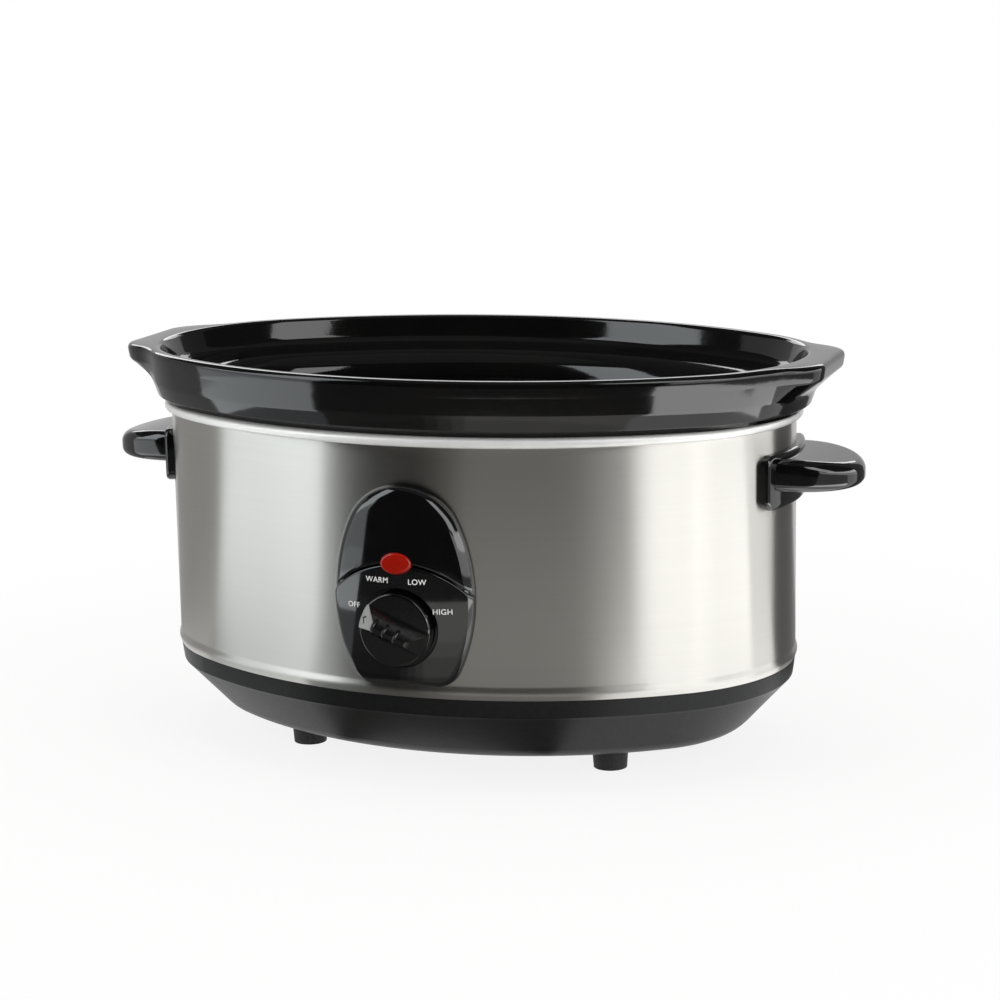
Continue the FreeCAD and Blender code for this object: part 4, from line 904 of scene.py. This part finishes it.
maker = bpy.data.objects.new("rib_maker", bpy.data.meshes.new("rib_maker"))
bpy.context.scene.collection.objects.link(maker)
modifier = maker.modifiers.new("thumb_ribs", "NODES")
modifier.node_group = tree
for name, (kind, value) in rib_sizes.items():
    modifier[identifiers[name]] = value
rib_mesh = bpy.data.meshes.new_from_object(maker.evaluated_get(bpy.context.evaluated_depsgraph_get()))
bpy.data.objects.remove(maker)
print("rib faces", len(rib_mesh.polygons))

# %% [markdown]
# The ribs and the pointer's mark are made on the knob's own axes and then moved to where the knob rests,
# with its pointer at the first setting. The mark is a thin chevron on the sloped pale facet. Its own axes
# are a up the slope, b across it and d out from it.

# %% Ribs and arrow on the knob
knob_level, knob_turn, first_rib = panel_foot + knob_heart[1], math.radians(-22.5), -8.0


def knob_place(x, y, w):
    """A point of the knob's own axes, at rest, in the frame."""
    u = x * math.cos(knob_turn) - y * math.sin(knob_turn)
    v = x * math.sin(knob_turn) + y * math.cos(knob_turn)
    return (u * MM, (-body_front - w) * MM + oval_y, (v + knob_level) * MM)


def knob_piece(name, mesh, finish):
    mesh.materials.clear()
    mesh.materials.append(finish)
    thing = bpy.data.objects.new(name, mesh)
    bpy.context.scene.collection.objects.link(thing)
    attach(thing, "knob")


for vertex in rib_mesh.vertices:
    x, y, w = (value / MM for value in vertex.co)
    vertex.co = knob_place(x + first_rib, y, w)
knob_piece("thumb_ribs", rib_mesh, knob_black)
arrow = [(-2.4, 0.0), (0.6, 2.2), (1.2, 1.5), (-1.0, 0.0), (1.2, -1.5), (0.6, -2.2)]
count = len(arrow)
# Foot of the facet as x and w, the direction up its slope, and how far up the arrow sits
foot_x, foot_w, run, rise, arrow_up = -17.7, 15.1, 0.669, 0.743, 4.4
arrow_back, arrow_face = -0.3, 0.14
verts = []
for d in (arrow_back, arrow_face):
    for a, b in arrow:
        up = a + arrow_up
        verts.append(knob_place(foot_x + run * up - rise * d, b, foot_w + rise * up + run * d))
faces = [list(range(count))[::-1], list(range(count, 2 * count))]
faces += [(i, (i + 1) % count, count + (i + 1) % count, count + i) for i in range(count)]
arrow_mesh = bpy.data.meshes.new("pointer_arrow")
arrow_mesh.from_pydata(verts, [], faces)
knob_piece("pointer_arrow", arrow_mesh, finishes["gloss_plastic"])
print("ribs and arrow ride on the knob")

# %% [markdown]
# ## The handles
# Each handle is one moulding: a plate that follows the curve of the body, and a D-shaped tab with a
# rounded nose that is hollow underneath. Both are cushions with rolled edges. The left handle is the
# right one turned half a turn.

# %% Handle outlines
# The tab's nose is a squared oval, and behind it the tab runs on into the body
tab_root, tab_reach, tab_half, nose_power = 165.0, 36.4, 31.0, 2 / 2.2
tab_back, tab_sides = 153, (157, 161)
nose = np.linspace(-math.pi / 2, math.pi / 2, 81)
nose_edge = np.stack((tab_root + tab_reach * np.cos(nose) ** nose_power,
                      tab_half * np.sign(np.sin(nose)) * np.abs(np.sin(nose)) ** nose_power), axis=1)
tab_edge = np.concatenate((
    nose_edge, [(x, tab_half) for x in reversed(tab_sides)], [(tab_back, y) for y in range(30, -31, -5)],
    [(x, -tab_half) for x in tab_sides]))
# Centres of the plate's corners, along the body and up
plate_half, plate_high, plate_low, plate_round = 31.1, 156.0, 138.5, 5
plate_corners = ((1, plate_high, 0), (-1, plate_high, 90), (-1, plate_low, 180), (1, plate_low, 270))
plate_edge = []
for sign, level, first in plate_corners:
    for step in range(13):
        angle = math.radians(first + step * 7.5)
        plate_edge.append((sign * plate_half + plate_round * math.cos(angle),
                           level + plate_round * math.sin(angle)))
    # The long edges have points of their own, because they bend round the body
    if first in (0, 180):
        plate_edge += [(sign * k, level + sign * plate_round) for k in range(28, -29, -4)]
plate_edge = np.array(plate_edge)
print("outline points of tab and plate", len(tab_edge), len(plate_edge))

# %% Handles
steel_end, end_x, end_radius = steel_oval[0], 80.3, steel_oval[2]
tab_heart, tab_top, tab_under, tab_roll, under_roll = np.array((176.0, 0)), 158.5, 142.5, 5.0, 4
# The tab's top drops towards its nose by the square of the distance over this length
tab_droop = 294.4
hollow = [(4.4, tab_under), (4.7, 149.0), (5.6, 149.8)]
plate_heart, plate_roll, plate_proud, plate_sunk = np.array((0, 147.2)), 2.2, 4.6, -0.6
low_rings = []
for a in range(0, 91, 9):
    step = under_roll * (1 - math.cos(math.radians(a)))
    low_rings.append((step, tab_under + roll(step, under_roll)))


def handle(name, turn):
    """Tab and plate of one handle, where turn is 1 on the right and -1 on the left."""
    def tab_place(x, y, z):
        return (turn * x * MM, turn * y * MM + oval_y, z * MM)

    def plate_place(s, z, proud):
        angle, reach = s / end_radius, end_radius + proud
        return tab_place(end_x + reach * math.cos(angle), reach * math.sin(angle), z)

    def tab_crown(x, y):
        return tab_top - max(x - steel_end, 0) ** 2 / tab_droop

    def plate_face(s, z):
        return plate_proud

    tab = cushion(tab_edge, tab_heart, tab_roll, tab_crown, low_rings + hollow, tab_place)
    plate = cushion(plate_edge, plate_heart, plate_roll, plate_face, [(0, plate_sunk)], plate_place)
    piece(name + "_moulding", [tab, plate], "gloss_plastic", "cooker", name)


handle("handle_right", 1)
handle("handle_left", -1)
